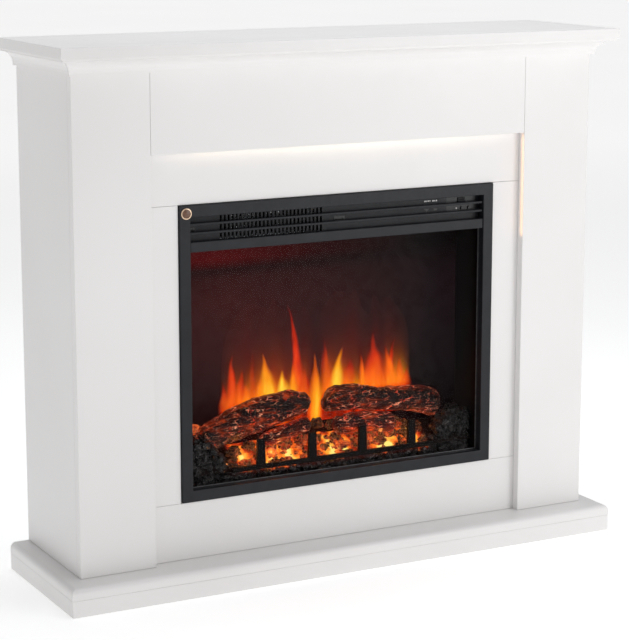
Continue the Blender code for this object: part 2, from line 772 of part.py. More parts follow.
def make_light_board():
    """The strip of lights that shines on the rotor and up through the ember bed."""
    y = ROTOR_PLACE[0]
    half = WINDOW_HALF - LED_STRIP_MARGIN
    low = FLOOR + LED_STRIP_RISE
    top = low + LED_STRIP_THICKNESS
    strip = board("flame_led_board", (-half, half), (y - LED_STRIP_HALF, y + LED_STRIP_HALF), (low, top),
                  BOARD_GREEN, 0)
    chips = bmesh.new()
    pitch = 2 * half / (LED_COUNT + 0.6)
    chip = LED_CHIP / 2
    for number in range(LED_COUNT):
        x = (number - (LED_COUNT - 1) / 2) * pitch
        add_box(chips, (x - chip, x + chip), (y - chip, y + chip),
                (top - 2 * GAP, top + LED_STRIP_THICKNESS))
    join(strip, chips)


# ---------------------------------------------------------------- heater


def housing_outline(radius, front, floor, roof):
    """A D shape: flat floor and roof that open to the front, round at the back."""
    points = [(front, floor)]
    steps = 12
    for step in range(steps + 1):
        turn = -math.pi / 2 + math.pi * step / steps
        points.append((Y_BLOWER + radius * math.cos(turn), Z_BLOWER + radius * math.sin(turn)))
    points.append((front, roof))
    return points


def make_housing():
    low, high = BLOWER_SPAN
    front = Y_BLOWER - HOUSING_THROAT
    outer = housing_outline(HOUSING_RADIUS, front, Z_BLOWER - HOUSING_RADIUS, Z_BLOWER + HOUSING_RADIUS)
    housing = placed("blower_housing", extruded(outer, "X", low, high), GALVANISED)
    hollow_radius = HOUSING_RADIUS - SHEET
    inner = housing_outline(
        hollow_radius, front - SHEET, Z_BLOWER - hollow_radius, Z_BLOWER + hollow_radius
    )
    cut(housing, extruded(inner, "X", low + SHEET, high - SHEET))
    ports = bmesh.new()
    bore = BLOWER_SHAFT + SLIDING_CLEARANCE
    add_rod(ports, (high - 3 * SHEET, high + SHEET), Y_BLOWER, Z_BLOWER, bore, 12)
    width = (high - low) / 4
    for number in range(4):
        start = low + number * width
        add_box(ports, (start + PORT_MARGIN, start + width - PORT_MARGIN),
                (Y_BLOWER + HOUSING_RADIUS * 0.7, Y_BLOWER + 2 * HOUSING_RADIUS),
                (Z_BLOWER - PORT_HALF, Z_BLOWER + PORT_HALF))
    boolean(housing, placed("blower_housing_ports", ports), "DIFFERENCE")


def make_blower():
    low = BLOWER_SPAN[0] + BLOWER_END_GAP
    high = BLOWER_SPAN[1] - BLOWER_END_GAP
    tail = high + BLOWER_TAIL
    bm = bmesh.new()
    add_rod(bm, (low, tail), Y_BLOWER, Z_BLOWER, BLOWER_SHAFT, 12)
    wheel = placed("blower_wheel", bm, ALUMINIUM, (0.0, Y_BLOWER, Z_BLOWER))
    discs = bmesh.new()
    disc = DISC_THICKNESS / 2
    for x in (low + DISC_INSET, (low + high) / 2, high - DISC_INSET):
        add_rod(discs, (x - disc, x + disc), Y_BLOWER, Z_BLOWER, BLOWER_RADIUS, 24)
    boolean(wheel, placed("blower_wheel_discs", discs), "UNION")
    blades = bmesh.new()
    inset = DISC_INSET - SLIDING_CLEARANCE
    blade = BLADE_THICKNESS / 2
    for number in range(BLOWER_BLADES):
        made = add_box(blades, (low + inset, high - inset), (-blade, blade), BLADE_SPAN)
        turn = Matrix.Rotation(2 * math.pi * number / BLOWER_BLADES, 4, "X")
        bmesh.ops.transform(blades, matrix=Matrix.Translation((0, Y_BLOWER, Z_BLOWER)) @ turn, verts=made)
    boolean(wheel, placed("blower_wheel_blades", blades), "UNION")
    motor = bmesh.new()
    wall = BLOWER_SPAN[1]
    add_rod(motor, (wall + GAP, wall + MOTOR_LENGTH), Y_BLOWER, Z_BLOWER, MOTOR_RADIUS, 32)
    made = smooth(placed("blower_motor", motor, GALVANISED))
    bore = bmesh.new()
    radius = BLOWER_SHAFT + SLIDING_CLEARANCE
    add_rod(bore, (wall - SHEET, tail + GAP), Y_BLOWER, Z_BLOWER, radius, 12)
    cut(made, bore)


def make_element():
    low, high = BLOWER_SPAN
    y = CASING_FRONT + ELEMENT_SETBACK
    core = board("heating_element", (low, high), (y, y + ELEMENT_BAR),
                 (Z_BLOWER - ELEMENT_BAR, Z_BLOWER + ELEMENT_BAR), ALUMINIUM, 0)
    fins = bmesh.new()
    depth = (y - FIN_LAP, y + ELEMENT_BAR + FIN_LAP)
    thin = FIN_THICKNESS / 2
    pitch = (high - low - ELEMENT_BAR) / FIN_COUNT
    for number in range(FIN_COUNT):
        x = low + ELEMENT_BAR / 2 + (number + 0.5) * pitch
        add_box(fins, (x - thin, x + thin), depth, (Z_BLOWER - FIN_HALF, Z_BLOWER + FIN_HALF))
    join(core, fins)


# ---------------------------------------------------------------- controls


def make_control_panel():
    depth = (CASING_FRONT + SHEET + GAP, CASING_FRONT + SHEET + GAP + CONTROL_PLATE)
    panel = board("control_panel", CONTROL_X, depth,
                  (ROW_Z[1] - CONTROL_MARGIN, ROW_Z[0] + CONTROL_MARGIN), PLASTIC, 0)
    holes = bmesh.new()
    through = (depth[0] - SHEET, depth[1] + SHEET)
    gap = SLIDING_CLEARANCE
    add_box(holes, (CONTROL_MID - ROCKER_WIDTH / 2 - gap, CONTROL_MID + ROCKER_WIDTH / 2 + gap), through,
            (ROW_Z[0] - ROCKER_HEIGHT / 2 - gap, ROW_Z[0] + ROCKER_HEIGHT / 2 + gap))
    for number in (0, 1):
        add_peg(holes, button_x(number), through, ROW_Z[1], BUTTON_RADIUS + gap)
    add_peg(holes, LENS_X, through, ROW_Z[1], LENS_RADIUS + GAP, 12)
    cut(panel, holes)


def button_x(number):
    return CONTROL_MID + BUTTON_OFFSET + number * BUTTON_PITCH


def make_rocker():
    """The power rocker. It turns about X on a pin in the middle of the panel's thickness."""
    y = CASING_FRONT + SHEET + GAP + CONTROL_PLATE / 2
    origin = (CONTROL_MID, y, ROW_Z[0])
    high = ROCKER_HEIGHT / 2 - ROCKER_EASE
    half = ROCKER_WIDTH / 2
    outline = [
        (-ROCKER_FRONT, -high),
        (ROCKER_DISH - ROCKER_FRONT, 0.0),
        (-ROCKER_FRONT, high),
        (ROCKER_REAR, high),
        (ROCKER_REAR, -high),
    ]
    bm = extruded(outline, "X", -half, half)
    bmesh.ops.rotate(bm, verts=bm.verts, matrix=Matrix.Rotation(-ROCKER_THROW / 2, 3, "X"))
    bmesh.ops.translate(bm, verts=bm.verts, vec=origin)
    placed("power_switch", bm, PLASTIC, origin)


def make_buttons():
    front = CASING_FRONT - BUTTON_PROUD
    seat = CASING_FRONT + SHEET + 2 * GAP + CONTROL_PLATE
    for number, name in enumerate(("heat_button", "flame_button")):
        bm = bmesh.new()
        add_peg(bm, button_x(number), (front, seat + 2 * GAP), ROW_Z[1], BUTTON_RADIUS)
        made = smooth(placed(name, bm, PLASTIC, (button_x(number), front, ROW_Z[1])))
        flange = bmesh.new()
        depth = (seat, seat + BUTTON_FLANGE)
        add_peg(flange, button_x(number), depth, ROW_Z[1], BUTTON_RADIUS + BUTTON_FLANGE)
        boolean(made, placed(name + "_flange", flange), "UNION")


def make_lens():
    depth = (CASING_FRONT + SHEET / 2, CASING_FRONT + SHEET + CONTROL_PLATE + GAP)
    bm = bmesh.new()
    add_peg(bm, LENS_X, depth, ROW_Z[1], LENS_RADIUS, 12)
    smooth(placed("receiver_lens", bm, DIFFUSER))


def turned(name, look, profile, place):
    """A turned piece whose axis points along +Y. The profile holds (radius, height) from top to bottom."""
    mesh = bpy.data.meshes.new(name)
    mesh.from_pydata([(r, 0.0, h) for r, h in profile], [(i, i + 1) for i in range(len(profile) - 1)], [])
    made = bpy.data.objects.new(name, mesh)
    made.location = place
    made.rotation_euler = (-math.pi / 2, 0.0, 0.0)
    PARTS.objects.link(made)
    mesh.materials.append(look)
    spin = made.modifiers.new("Screw", "SCREW")
    spin.axis = "Z"
    spin.steps = 28
    spin.render_steps = 28
    spin.use_merge_vertices = True
    spin.merge_threshold = 0.00005
    spin.use_smooth_shade = True
    return made


def make_badge():
    """A plain round badge in the top left corner of the trim."""
    radius = BADGE_RADIUS
    rise = BADGE_RISE
    profile = [(0.0, 0.0), (radius, 0.0), (radius, -rise * 0.6), (radius * 0.94, -rise)]
    profile += [(radius * 0.78, -rise), (radius * 0.74, -rise * 0.6), (0.0, -rise * 0.6)]
    place = (-INSERT_HALF + BADGE_IN, Y_TRIM - GAP, INSERT_TOP - BADGE_DOWN)
    turned("badge", BRONZE, profile, place)


def make_gland():
    """The moulded entry for the mains lead, with its collar outside and its nut inside the back sheet."""
    neck = GLAND_NECK
    profile = [
        (0.0, 0.014),
        (0.0055, 0.014),
        (0.0075, 0.004),
        (0.0095, 0.003),
        (0.0095, SHEET + GAP),
        (neck, SHEET + GAP),
        (neck, -GAP),
        (0.0085, -GAP),
        (0.0085, -0.0035),
        (0.0, -0.0035),
    ]
    turned("cord_gland", PLASTIC, profile, (GLAND_X, CASING_BACK, GLAND_Z))


def main():
    make_mantel()
    make_cornices()
    make_carcass()
    make_frieze()
    make_downlight()
    make_infill()
    make_hearth()
    make_wall_brackets()
    make_trim()
    make_louvres()
    make_grille()
    make_glass()
    make_casing()
    make_liners()
    make_ember_bed()
    make_coal_bed()
    make_grate()
    make_logs()
    make_rotor_drive(make_rotor())
    make_light_board()
    make_housing()
    make_blower()
    make_element()
    make_control_panel()
    make_rocker()
    make_buttons()
    make_lens()
    make_badge()
    make_gland()


main()
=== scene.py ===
"""Looks for the electric fireplace: finishes, fire bed, flames, small fittings, studio and camera."""

import math
import random

import bmesh
import bpy
import numpy as np
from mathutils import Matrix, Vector, noise


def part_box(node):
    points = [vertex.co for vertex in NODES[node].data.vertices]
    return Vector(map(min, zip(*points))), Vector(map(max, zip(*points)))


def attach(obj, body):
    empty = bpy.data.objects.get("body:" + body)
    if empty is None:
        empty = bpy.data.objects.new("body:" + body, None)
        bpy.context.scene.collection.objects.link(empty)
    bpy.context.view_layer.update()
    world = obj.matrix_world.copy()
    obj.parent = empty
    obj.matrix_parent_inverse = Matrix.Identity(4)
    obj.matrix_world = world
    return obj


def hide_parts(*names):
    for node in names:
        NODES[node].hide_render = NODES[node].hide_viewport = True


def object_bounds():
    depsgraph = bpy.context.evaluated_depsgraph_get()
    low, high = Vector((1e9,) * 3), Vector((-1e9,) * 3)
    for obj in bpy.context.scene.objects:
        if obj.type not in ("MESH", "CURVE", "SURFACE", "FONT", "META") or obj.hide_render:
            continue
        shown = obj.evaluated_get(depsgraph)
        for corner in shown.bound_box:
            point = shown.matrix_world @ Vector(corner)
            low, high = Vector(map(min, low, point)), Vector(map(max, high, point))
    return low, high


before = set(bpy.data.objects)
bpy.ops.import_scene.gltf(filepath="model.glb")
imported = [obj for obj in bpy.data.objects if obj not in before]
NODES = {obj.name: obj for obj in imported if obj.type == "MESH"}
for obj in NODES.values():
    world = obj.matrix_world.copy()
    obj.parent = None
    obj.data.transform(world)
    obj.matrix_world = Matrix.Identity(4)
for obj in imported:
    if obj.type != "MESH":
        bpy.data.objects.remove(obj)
CAD_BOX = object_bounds()
ROOT = "surround"

# Camera: front left, looking slightly down
CAMERA_PLACE = (-1.8905, -3.5708, 1.2860)
CAMERA_YAW = math.radians(27.70)
CAMERA_PITCH = math.radians(-10.88)
CAMERA_LENS = 118.5
CAMERA_SHIFT = (0.005, -0.034)

# Places read from the frame
BED_LOW, BED_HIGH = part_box("ember_bed")
COAL_LOW, COAL_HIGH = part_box("coal_bed")
SCREEN_LOW, SCREEN_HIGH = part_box("flame_screen")
GRATE_LOW, GRATE_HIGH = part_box("fire_grate")
TRIM_LOW, TRIM_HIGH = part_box("trim_frame")
LIGHT_LOW, LIGHT_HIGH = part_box("light_diffuser")
SHELL_LOW, SHELL_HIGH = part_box("casing_back")
BED_TOP = BED_HIGH.z
GLASS_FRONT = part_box("front_glass")[0].y
GRILLE_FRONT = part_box("slotted_grille")[0].y
FRIEZE_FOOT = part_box("frieze_board")[0].z
PANEL_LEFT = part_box("control_panel")[0].x

# Logs
LOG_AROUND = 120
LOG_CAP_RINGS = 9
LOG_LONG, LOG_SHORT = 210, 110
LOG_NECK = 0.72
RIDGE_RISE = 0.0030
KNOB_RISE = 0.0030
GAP_DEPTH = 0.0022
FURROW_DEPTH = 0.0026

# Coals and embers
COAL_SIZE = (0.0065, 0.0115)
HEAP_LUMP_SIZE = (0.0085, 0.0125)
HEAP_LENGTH = 0.090
BANK_HEIGHT = 0.034
HEAP_ROWS, HEAP_COLUMNS = 3, 6
HOT_SPOTS = (-0.196, -0.128, -0.092, 0.000, 0.024, 0.108, 0.128, 0.186)
HOT_SPOT_WIDTH = 0.017
SLOPE_ACROSS, SLOPE_DEEP = 300, 34
SLOPE_THICKNESS = 0.0015
CLINKER_SIZES = (0.0050, 0.0085, 0.0105, 0.0130)
CLINKER_LEVELS = 4

# Grate
GRATE_POSTS = 4
GRATE_POST_SHIFT = 0.005
GRATE_BAR = 0.0095
GRATE_BEVEL = 0.0014
POST_HALF = 0.0095
POST_TAPER = 0.82
RIB_HALF = 0.0040

# Flames
FLAME_EDGES = (-0.212, 0.210)
FLAME_HEIGHTS = (0.028, 0.285)
FLAME_CELL = 0.0011
SHEET_GAP = 0.0012
LATTICE = 64

# Studio and lamps
UNLIT = (0.0, 0.0, 0.0)
KEY_PLACE, KEY_TARGET, KEY_SIZE, KEY_POWER = (1.45, -2.15, 0.98), (0.20, 0.0, 0.45), (1.1, 1.1), 14.5
TOP_PLACE, TOP_TARGET, TOP_SIZE, TOP_POWER = (0.2, 0.2, 3.2), (0.0, 0.0, 1.0), (2.4, 1.6), 42.0
FLOOR_HALF = 60.0
FLOOR_GLOW_NEAR, FLOOR_GLOW_FAR = 0.42, 0.55
FIRE_ORANGE = (1.0, 0.30, 0.06)
FLAME_POWER = 0.40
EMBER_POWER = 0.05
EMBER_LAMPS = (-0.19, -0.11, 0.0, 0.11, 0.19)
DOWNLIGHT_COLOUR = (1.0, 0.74, 0.42)
# Each: place as a share of the diffuser's half width, power
DOWNLIGHTS = ((-0.558, 0.0016), (-0.062, 0.0022), (0.4464, 0.0020))
END_LIGHT_COLOUR = (1.0, 0.50, 0.20)
END_LIGHT_POWER = 0.006


# ---- node graphs


class Look:
    """One material and short calls for wiring its nodes."""

    def __init__(self, name, colour, roughness, metallic=0.0, specular=0.5):
        self.material = bpy.data.materials.new(name)
        self.material.use_nodes = True
        self.tree = self.material.node_tree
        self.shader = self.tree.nodes["Principled BSDF"]
        self.set("Base Color", (*colour, 1.0))
        self.set("Roughness", roughness)
        self.set("Metallic", metallic)
        self.set("Specular IOR Level", specular)
        self.place = self.tree.nodes.new("ShaderNodeTexCoord").outputs["Object"]

    def set(self, socket, value):
        self.shader.inputs[socket].default_value = value

    def link(self, output, socket):
        self.tree.links.new(output, socket if hasattr(socket, "node") else self.shader.inputs[socket])

    def stretched(self, scale):
        mapping = self.tree.nodes.new("ShaderNodeMapping")
        mapping.inputs["Scale"].default_value = scale
        self.link(self.place, mapping.inputs["Vector"])
        return mapping.outputs["Vector"]

    def noise(self, scale, detail=3.0, roughness=0.55, stretch=None, distortion=0.0):
        made = self.tree.nodes.new("ShaderNodeTexNoise")
        made.inputs["Scale"].default_value = scale
        made.inputs["Detail"].default_value = detail
        made.inputs["Roughness"].default_value = roughness
        made.inputs["Distortion"].default_value = distortion
        self.link(self.stretched(stretch) if stretch else self.place, made.inputs["Vector"])
        return made.outputs["Fac"]

    def cells(self, scale, feature="F1", stretch=None, output="Distance"):
        made = self.tree.nodes.new("ShaderNodeTexVoronoi")
        made.feature = feature
        made.inputs["Scale"].default_value = scale
        self.link(self.stretched(stretch) if stretch else self.place, made.inputs["Vector"])
        return made.outputs[output]

    def ramp(self, value, *stops):
        made = self.tree.nodes.new("ShaderNodeValToRGB")
        elements = made.color_ramp.elements
        while len(elements) < len(stops):
            elements.new(0.5)
        for element, (position, colour) in zip(elements, stops):
            element.position = position
            grey = (colour, colour, colour) if isinstance(colour, (int, float)) else colour
            element.color = (*grey, 1.0)
        self.link(value, made.inputs["Fac"])
        return made.outputs["Color"]

    def math(self, operation, first, second):
        made = self.tree.nodes.new("ShaderNodeMath")
        made.operation = operation
        for socket, value in zip(made.inputs, (first, second)):
            if isinstance(value, (int, float)):
                socket.default_value = value
            else:
                self.link(value, socket)
        return made.outputs["Value"]

    def times(self, first, second):
        return self.math("MULTIPLY", first, second)

    def mix(self, factor, first, second, blend="MIX"):
        made = self.tree.nodes.new("ShaderNodeMix")
        made.data_type = "RGBA"
        made.blend_type = blend
        for index, value in ((0, factor), (6, first), (7, second)):
            if isinstance(value, tuple):
                made.inputs[index].default_value = (*value, 1.0)
            elif isinstance(value, (int, float)):
                made.inputs[index].default_value = value
            else:
                self.link(value, made.inputs[index])
        return made.outputs[2]

    def axis(self, name):
        made = self.tree.nodes.new("ShaderNodeSeparateXYZ")
        self.link(self.place, made.inputs["Vector"])
        return made.outputs[name]

    def between(self, value, low, high, start=0.0, end=1.0):
        made = self.tree.nodes.new("ShaderNodeMapRange")
        for socket, number in zip(("From Min", "From Max", "To Min", "To Max"), (low, high, start, end)):
            made.inputs[socket].default_value = number
        self.link(value, made.inputs["Value"])
        return made.outputs["Result"]

    def attribute(self, name):
        made = self.tree.nodes.new("ShaderNodeAttribute")
        made.attribute_name = name
        return made.outputs["Fac"]

    def bump(self, height, distance, strength=1.0):
        made = self.tree.nodes.new("ShaderNodeBump")
        made.inputs["Distance"].default_value = distance
        made.inputs["Strength"].default_value = strength
        before = self.shader.inputs["Normal"]
        if before.is_linked:
            self.link(before.links[0].from_socket, made.inputs["Normal"])
        self.link(height, made.inputs["Height"])
        self.link(made.outputs["Normal"], "Normal")

    def tint(self, texture, dark, light, low=0.3, high=0.7):
        """Colours the surface between two tones by a texture."""
        self.link(self.ramp(texture, (low, dark), (high, light)), "Base Color")

    def sheen(self, texture, smooth, rough):
        """Lets the roughness wander between two values."""
        self.link(self.between(texture, 0.3, 0.7, smooth, rough), "Roughness")

    def glow(self, colour, strength):
        self.link(colour, "Emission Color")
        self.set("Emission Strength", strength)
        self.quiet()

    def quiet(self):
        """The glow is seen but isn't sampled as a lamp: lamps of the same colour do the lighting."""
        self.material.cycles.emission_sampling = "NONE"


def painted_board():
    look = Look("white_paint", (0.8, 0.79, 0.78), 0.36, specular=0.4)
    look.tint(look.noise(2.2, 2.0), (0.800, 0.785, 0.778), (0.845, 0.832, 0.826))
    look.sheen(look.noise(60.0, 4.0), 0.30, 0.42)
    look.bump(look.noise(420.0, 3.0, 0.6), 0.00012, 0.5)
    look.bump(look.noise(30.0, 2.0, 0.5), 0.0003, 0.25)
    return look.material


def powder_coat():
    look = Look("black_steel", (0.03, 0.032, 0.038), 0.42, specular=0.30)
    look.tint(look.noise(35.0, 4.0), (0.006, 0.0066, 0.009), (0.011, 0.012, 0.016))
    look.sheen(look.noise(240.0, 3.0), 0.34, 0.50)
    look.bump(look.noise(1500.0, 2.0), 0.00008, 0.6)
    return look.material


def matt_liner():
    look = Look("liner_black", (0.01, 0.009, 0.009), 0.5, specular=0.25)
    look.tint(look.noise(50.0, 4.0), (0.007, 0.006, 0.006), (0.016, 0.013, 0.013), high=0.75)
    look.sheen(look.noise(90.0), 0.34, 0.55)
    look.bump(look.noise(900.0, 2.0), 0.0001, 0.4)
    return look.material


def zinc_sheet():
    look = Look("galvanised_steel", (0.55, 0.56, 0.57), 0.4, 0.85)
    look.tint(look.cells(95.0, output="Color"), (0.42, 0.43, 0.45), (0.62, 0.63, 0.65), 0.2, 0.8)
    look.sheen(look.noise(40.0, 4.0), 0.30, 0.52)
    look.bump(look.cells(95.0), 0.0001, 0.3)
    return look.material


def window_glass():
    """Tinted panes that reflect a little more at a grazing angle, the same on both faces."""
    look = Look("glass", (0.9, 0.92, 0.93), 0.03)
    look.sheen(look.noise(9.0, 3.0), 0.02, 0.05)
    clear = look.tree.nodes.new("ShaderNodeBsdfTransparent")
    clear.inputs["Color"].default_value = (0.76, 0.75, 0.745, 1.0)
    weight = look.tree.nodes.new("ShaderNodeLayerWeight")
    weight.inputs["Blend"].default_value = 0.5
    grazing = look.math("POWER", weight.outputs["Facing"], 5.0)
    mixed = look.tree.nodes.new("ShaderNodeMixShader")
    look.link(look.math("ADD", look.times(grazing, 0.16), 0.002), mixed.inputs["Fac"])
    look.link(clear.outputs["BSDF"], mixed.inputs[1])
    look.link(look.shader.outputs["BSDF"], mixed.inputs[2])
    look.set("Metallic", 1.0)
    output = look.tree.nodes["Material Output"]
    look.link(mixed.outputs["Shader"], output.inputs["Surface"])
    return look.material


def flame_screen():
    """Smoked acrylic that holds a dull maroon glow, with a red reflection of the heater along its top."""
    look = Look("flame_screen", (0.010, 0.007, 0.008), 0.28, specular=0.12)
    look.sheen(look.noise(45.0, 4.0), 0.22, 0.34)
    across = look.axis("X")
    up = look.axis("Z")
    leftward = look.between(across, SCREEN_HIGH.x, SCREEN_LOW.x)
    grain = look.between(look.noise(260.0, 2.0), 0.2, 0.8, 0.75, 1.25)
    dull = look.ramp(leftward, (0.1, (0.0060, 0.0026, 0.0034)), (0.45, (0.022, 0.0052, 0.0055)),
                     (0.8, (0.034, 0.0060, 0.0060)), (1.0, (0.026, 0.0045, 0.0050)))
    height = look.between(up, SCREEN_LOW.z, SCREEN_HIGH.z)
    shade = look.ramp(height, (0.25, 0.25), (0.50, 0.9), (0.72, 1.1), (0.82, 0.85), (0.865, 0.25),
                      (0.90, 0.1))
    strip = look.ramp(height, (0.855, 0.0), (0.90, 1.0), (0.955, 0.75), (1.0, 0.3))
    fade = look.ramp(leftward, (0.15, 0.0), (0.5, 0.25), (0.85, 1.0), (1.0, 0.8))
    band = look.mix(1.0, look.mix(1.0, strip, fade, "MULTIPLY"), (0.062, 0.0006, 0.0010), "MULTIPLY")
    body = look.mix(1.0, dull, shade, "MULTIPLY")
    look.glow(look.mix(1.0, look.mix(1.0, band, body, "ADD"), grain, "MULTIPLY"), 1.75)
    return look.material


def bark():
    """Char with grey flecks, painted glow in threads where the bark has split, and painted light: red from
    the embers on the parts near them and a rim of flame light along the top.
    """
    plates = (0.30, 1.0, 1.0)
    look = Look("charred_log", (0.03, 0.015, 0.012), 0.5, specular=0.35)
    # heat here is painted light: red from the embers low down and a rim of flame light along the top.
    heat = look.attribute("warmth")
    crack = look.attribute("crack")
    tone = look.noise(30.0, 5.0, 0.6, (0.45, 1.0, 1.0))
    char = look.ramp(tone, (0.38, (0.003, 0.0022, 0.0022)), (0.55, (0.008, 0.004, 0.0035)),
                     (0.75, (0.020, 0.006, 0.005)))
    fleck = look.ramp(look.noise(330.0, 2.0), (0.64, 0.0), (0.70, 1.0))
    look.link(look.mix(look.times(fleck, 0.6), char, (0.42, 0.34, 0.30)), "Base Color")
    # Painted glow in the threads and cracks, stronger where heat paints more light.
    lines = look.ramp(look.cells(150.0, "DISTANCE_TO_EDGE", plates), (0.014, 1.0), (0.054, 0.0))
    patches = look.ramp(look.noise(75.0, 4.0, 0.70), (0.50, 0.0), (0.62, 1.0))
    thread = look.times(lines, patches)
    thread = look.times(thread, look.between(heat, 0.0, 0.6, 1.30, 2.3))
    thread_colour = look.ramp(look.noise(95.0), (0.40, (0.85, 0.05, 0.014)), (0.60, (1.0, 0.42, 0.24)))
    gap_glow = look.times(crack, look.ramp(look.noise(22.0, 3.0), (0.48, 0.0), (0.60, 1.0)))
    gap_glow = look.times(gap_glow, look.between(heat, 0.0, 0.8, 0.28, 1.3))
    # Painted red light from the embers, in patches.
    warm = look.math("POWER", heat, 1.6)
    warm = look.times(warm, look.between(look.noise(42.0, 4.0), 0.35, 0.7, 0.1, 0.9))
    glow = look.mix(1.0, look.mix(thread, UNLIT, thread_colour),
                    look.mix(gap_glow, UNLIT, (0.95, 0.10, 0.015)), "ADD")
    glow = look.mix(1.0, glow, look.mix(warm, UNLIT, (0.42, 0.018, 0.005)), "ADD")
    look.glow(glow, 1.5)
    look.bump(look.cells(150.0, "DISTANCE_TO_EDGE", plates), 0.0016, 1.0)
    look.bump(look.noise(240.0, 4.0, 0.6, (0.35, 1.0, 1.0)), 0.0010, 0.9)
    look.sheen(look.noise(120.0, 3.0), 0.35, 0.65)
    return look.material


def hot_bed():
    """The moulded bed that the lamps below shine through."""
    look = Look("ember", (0.012, 0.004, 0.003), 0.55, specular=0.2)
    heat = look.attribute("warmth")
    mottle = look.between(look.noise(55.0, 4.0, 0.6), 0.25, 0.75, -0.35, 0.35)
    level = look.math("ADD", heat, look.times(mottle, look.between(heat, 0.0, 0.25)))
    colours = look.ramp(level, (0.0, UNLIT), (0.12, (0.02, 0.002, 0.001)),
                        (0.38, (0.42, 0.025, 0.005)), (0.58, (0.95, 0.17, 0.015)),
                        (0.78, (1.0, 0.42, 0.04)), (0.95, (1.0, 0.80, 0.20)))
    look.glow(colours, 1.9)
    look.bump(look.noise(130.0, 4.0), 0.002, 0.8)
    return look.material


def ember_lump():
    """Clinkers: dark crowns, painted glow in the cracks and painted light from the bed on the undersides."""
    look = Look("ember_lump", (0.03, 0.012, 0.010), 0.6, specular=0.3)
    # heat here is painted light from the bed below, strongest on the undersides.
    heat = look.attribute("warmth")
    tone = look.noise(90.0, 4.0)
    look.tint(tone, (0.006, 0.004, 0.004), (0.050, 0.010, 0.007), low=0.35)
    lines = look.ramp(look.cells(165.0, "DISTANCE_TO_EDGE"), (0.02, 1.0), (0.09, 0.0))
    lines = look.times(lines, look.between(heat, 0.1, 0.7, 0.1, 1.0))
    skin = look.math("ADD", look.times(heat, 1.05), look.between(tone, 0.3, 0.7, -0.42, 0.26))
    colours = look.ramp(skin, (0.20, UNLIT), (0.45, (0.30, 0.014, 0.004)),
                        (0.70, (0.95, 0.14, 0.012)), (0.90, (1.0, 0.42, 0.04)), (1.0, (1.0, 0.75, 0.15)))
    look.glow(look.mix(look.times(lines, 0.75), colours, (1.0, 0.34, 0.10)), 1.7)
    look.bump(look.noise(180.0, 4.0), 0.0016, 0.8)
    return look.material


def black_coal():
    look = Look("coal", (0.012, 0.011, 0.012), 0.32, specular=0.9)
    look.tint(look.noise(70.0, 4.0), (0.0025, 0.002, 0.0025), (0.014, 0.012, 0.013), low=0.35)
    look.sheen(look.noise(160.0, 3.0), 0.12, 0.55)
    # heat here paints a faint red light from the embers on the coals near them.
    heat = look.attribute("warmth")
    look.glow(look.mix(heat, UNLIT, (0.20, 0.010, 0.004)), 0.5)
    look.bump(look.cells(190.0), 0.0016, 0.9)
    look.bump(look.noise(420.0, 3.0), 0.0006, 0.7)
    return look.material


def cast_iron():
    look = Look("cast_iron", (0.012, 0.011, 0.011), 0.55, specular=0.2)
    look.tint(look.noise(80.0, 4.0), (0.004, 0.003, 0.003), (0.012, 0.009, 0.009), low=0.35)
    look.bump(look.noise(600.0, 3.0), 0.0004, 0.8)
    return look.material


def bright_aluminium():
    look = Look("aluminium", (0.80, 0.80, 0.82), 0.3, 1.0)
    look.tint(look.noise(25.0, 4.0), (0.70, 0.70, 0.72), (0.86, 0.86, 0.88))
    look.sheen(look.noise(180.0, 3.0, 0.5, (0.1, 1.0, 1.0)), 0.2, 0.42)
    return look.material


def lit_diffuser(half):
    look = Look("diffuser", (0.95, 0.92, 0.85), 0.5)
    spread = look.math("ABSOLUTE", look.between(look.axis("X"), -half, half, -1.0, 1.0), 0.0)
    look.link(look.ramp(spread, (0.2, (1.0, 0.84, 0.58)), (0.95, (0.50, 0.37, 0.22))), "Emission Color")
    look.set("Emission Strength", 1.2)
    look.bump(look.noise(500.0), 0.0001, 0.3)
    return look.material


def clear_lens():
    look = Look("lens", (0.75, 0.74, 0.72), 0.12)
    look.tint(look.noise(300.0), (0.68, 0.66, 0.64), (0.82, 0.81, 0.80))
    look.set("Coat Weight", 0.5)
    return look.material


def moulded_plastic():
    look = Look("black_plastic", (0.014, 0.014, 0.016), 0.38)
    look.tint(look.noise(70.0), (0.010, 0.010, 0.012), (0.020, 0.020, 0.023))
    look.sheen(look.noise(300.0, 3.0), 0.32, 0.48)
    look.bump(look.noise(1800.0, 2.0), 0.00006, 0.5)
    return look.material


def circuit_board():
    look = Look("circuit_board", (0.02, 0.10, 0.05), 0.45)
    look.tint(look.cells(260.0, output="Color"), (0.010, 0.070, 0.035), (0.020, 0.115, 0.060), 0.4, 0.6)
    look.bump(look.cells(260.0), 0.0001, 0.4)
    return look.material


def enamel(name, dark, light, roughness, metallic=0.0):
    look = Look(name, light, roughness, metallic)
    look.tint(look.noise(220.0, 3.0), dark, light)
    look.bump(look.noise(700.0), 0.00005, 0.4)
    return look.material


def flame_glow():
    """Light on the screen: red at the tips, orange lower down and yellow where it is hottest."""
    look = Look("flame_light", UNLIT, 1.0, specular=0.0)
    heat = look.attribute("warmth")
    cover = look.attribute("cover")
    wisps = look.noise(52.0, 4.0, 0.6, (1.0, 1.0, 0.22), 0.25)
    level = look.math("ADD", heat, look.between(wisps, 0.3, 0.7, -0.10, 0.10))
    colours = look.ramp(level, (0.10, (0.22, 0.004, 0.004)), (0.36, (0.80, 0.042, 0.008)),
                        (0.62, (1.0, 0.17, 0.009)), (0.84, (1.0, 0.38, 0.012)), (1.0, (1.0, 0.68, 0.05)))
    look.glow(colours, 1.85)
    look.link(look.times(cover, look.between(wisps, 0.25, 0.6, 0.72, 1.0)), "Alpha")
    return look.material


# ---- pieces


def show(made):
    bpy.context.scene.collection.objects.link(made)


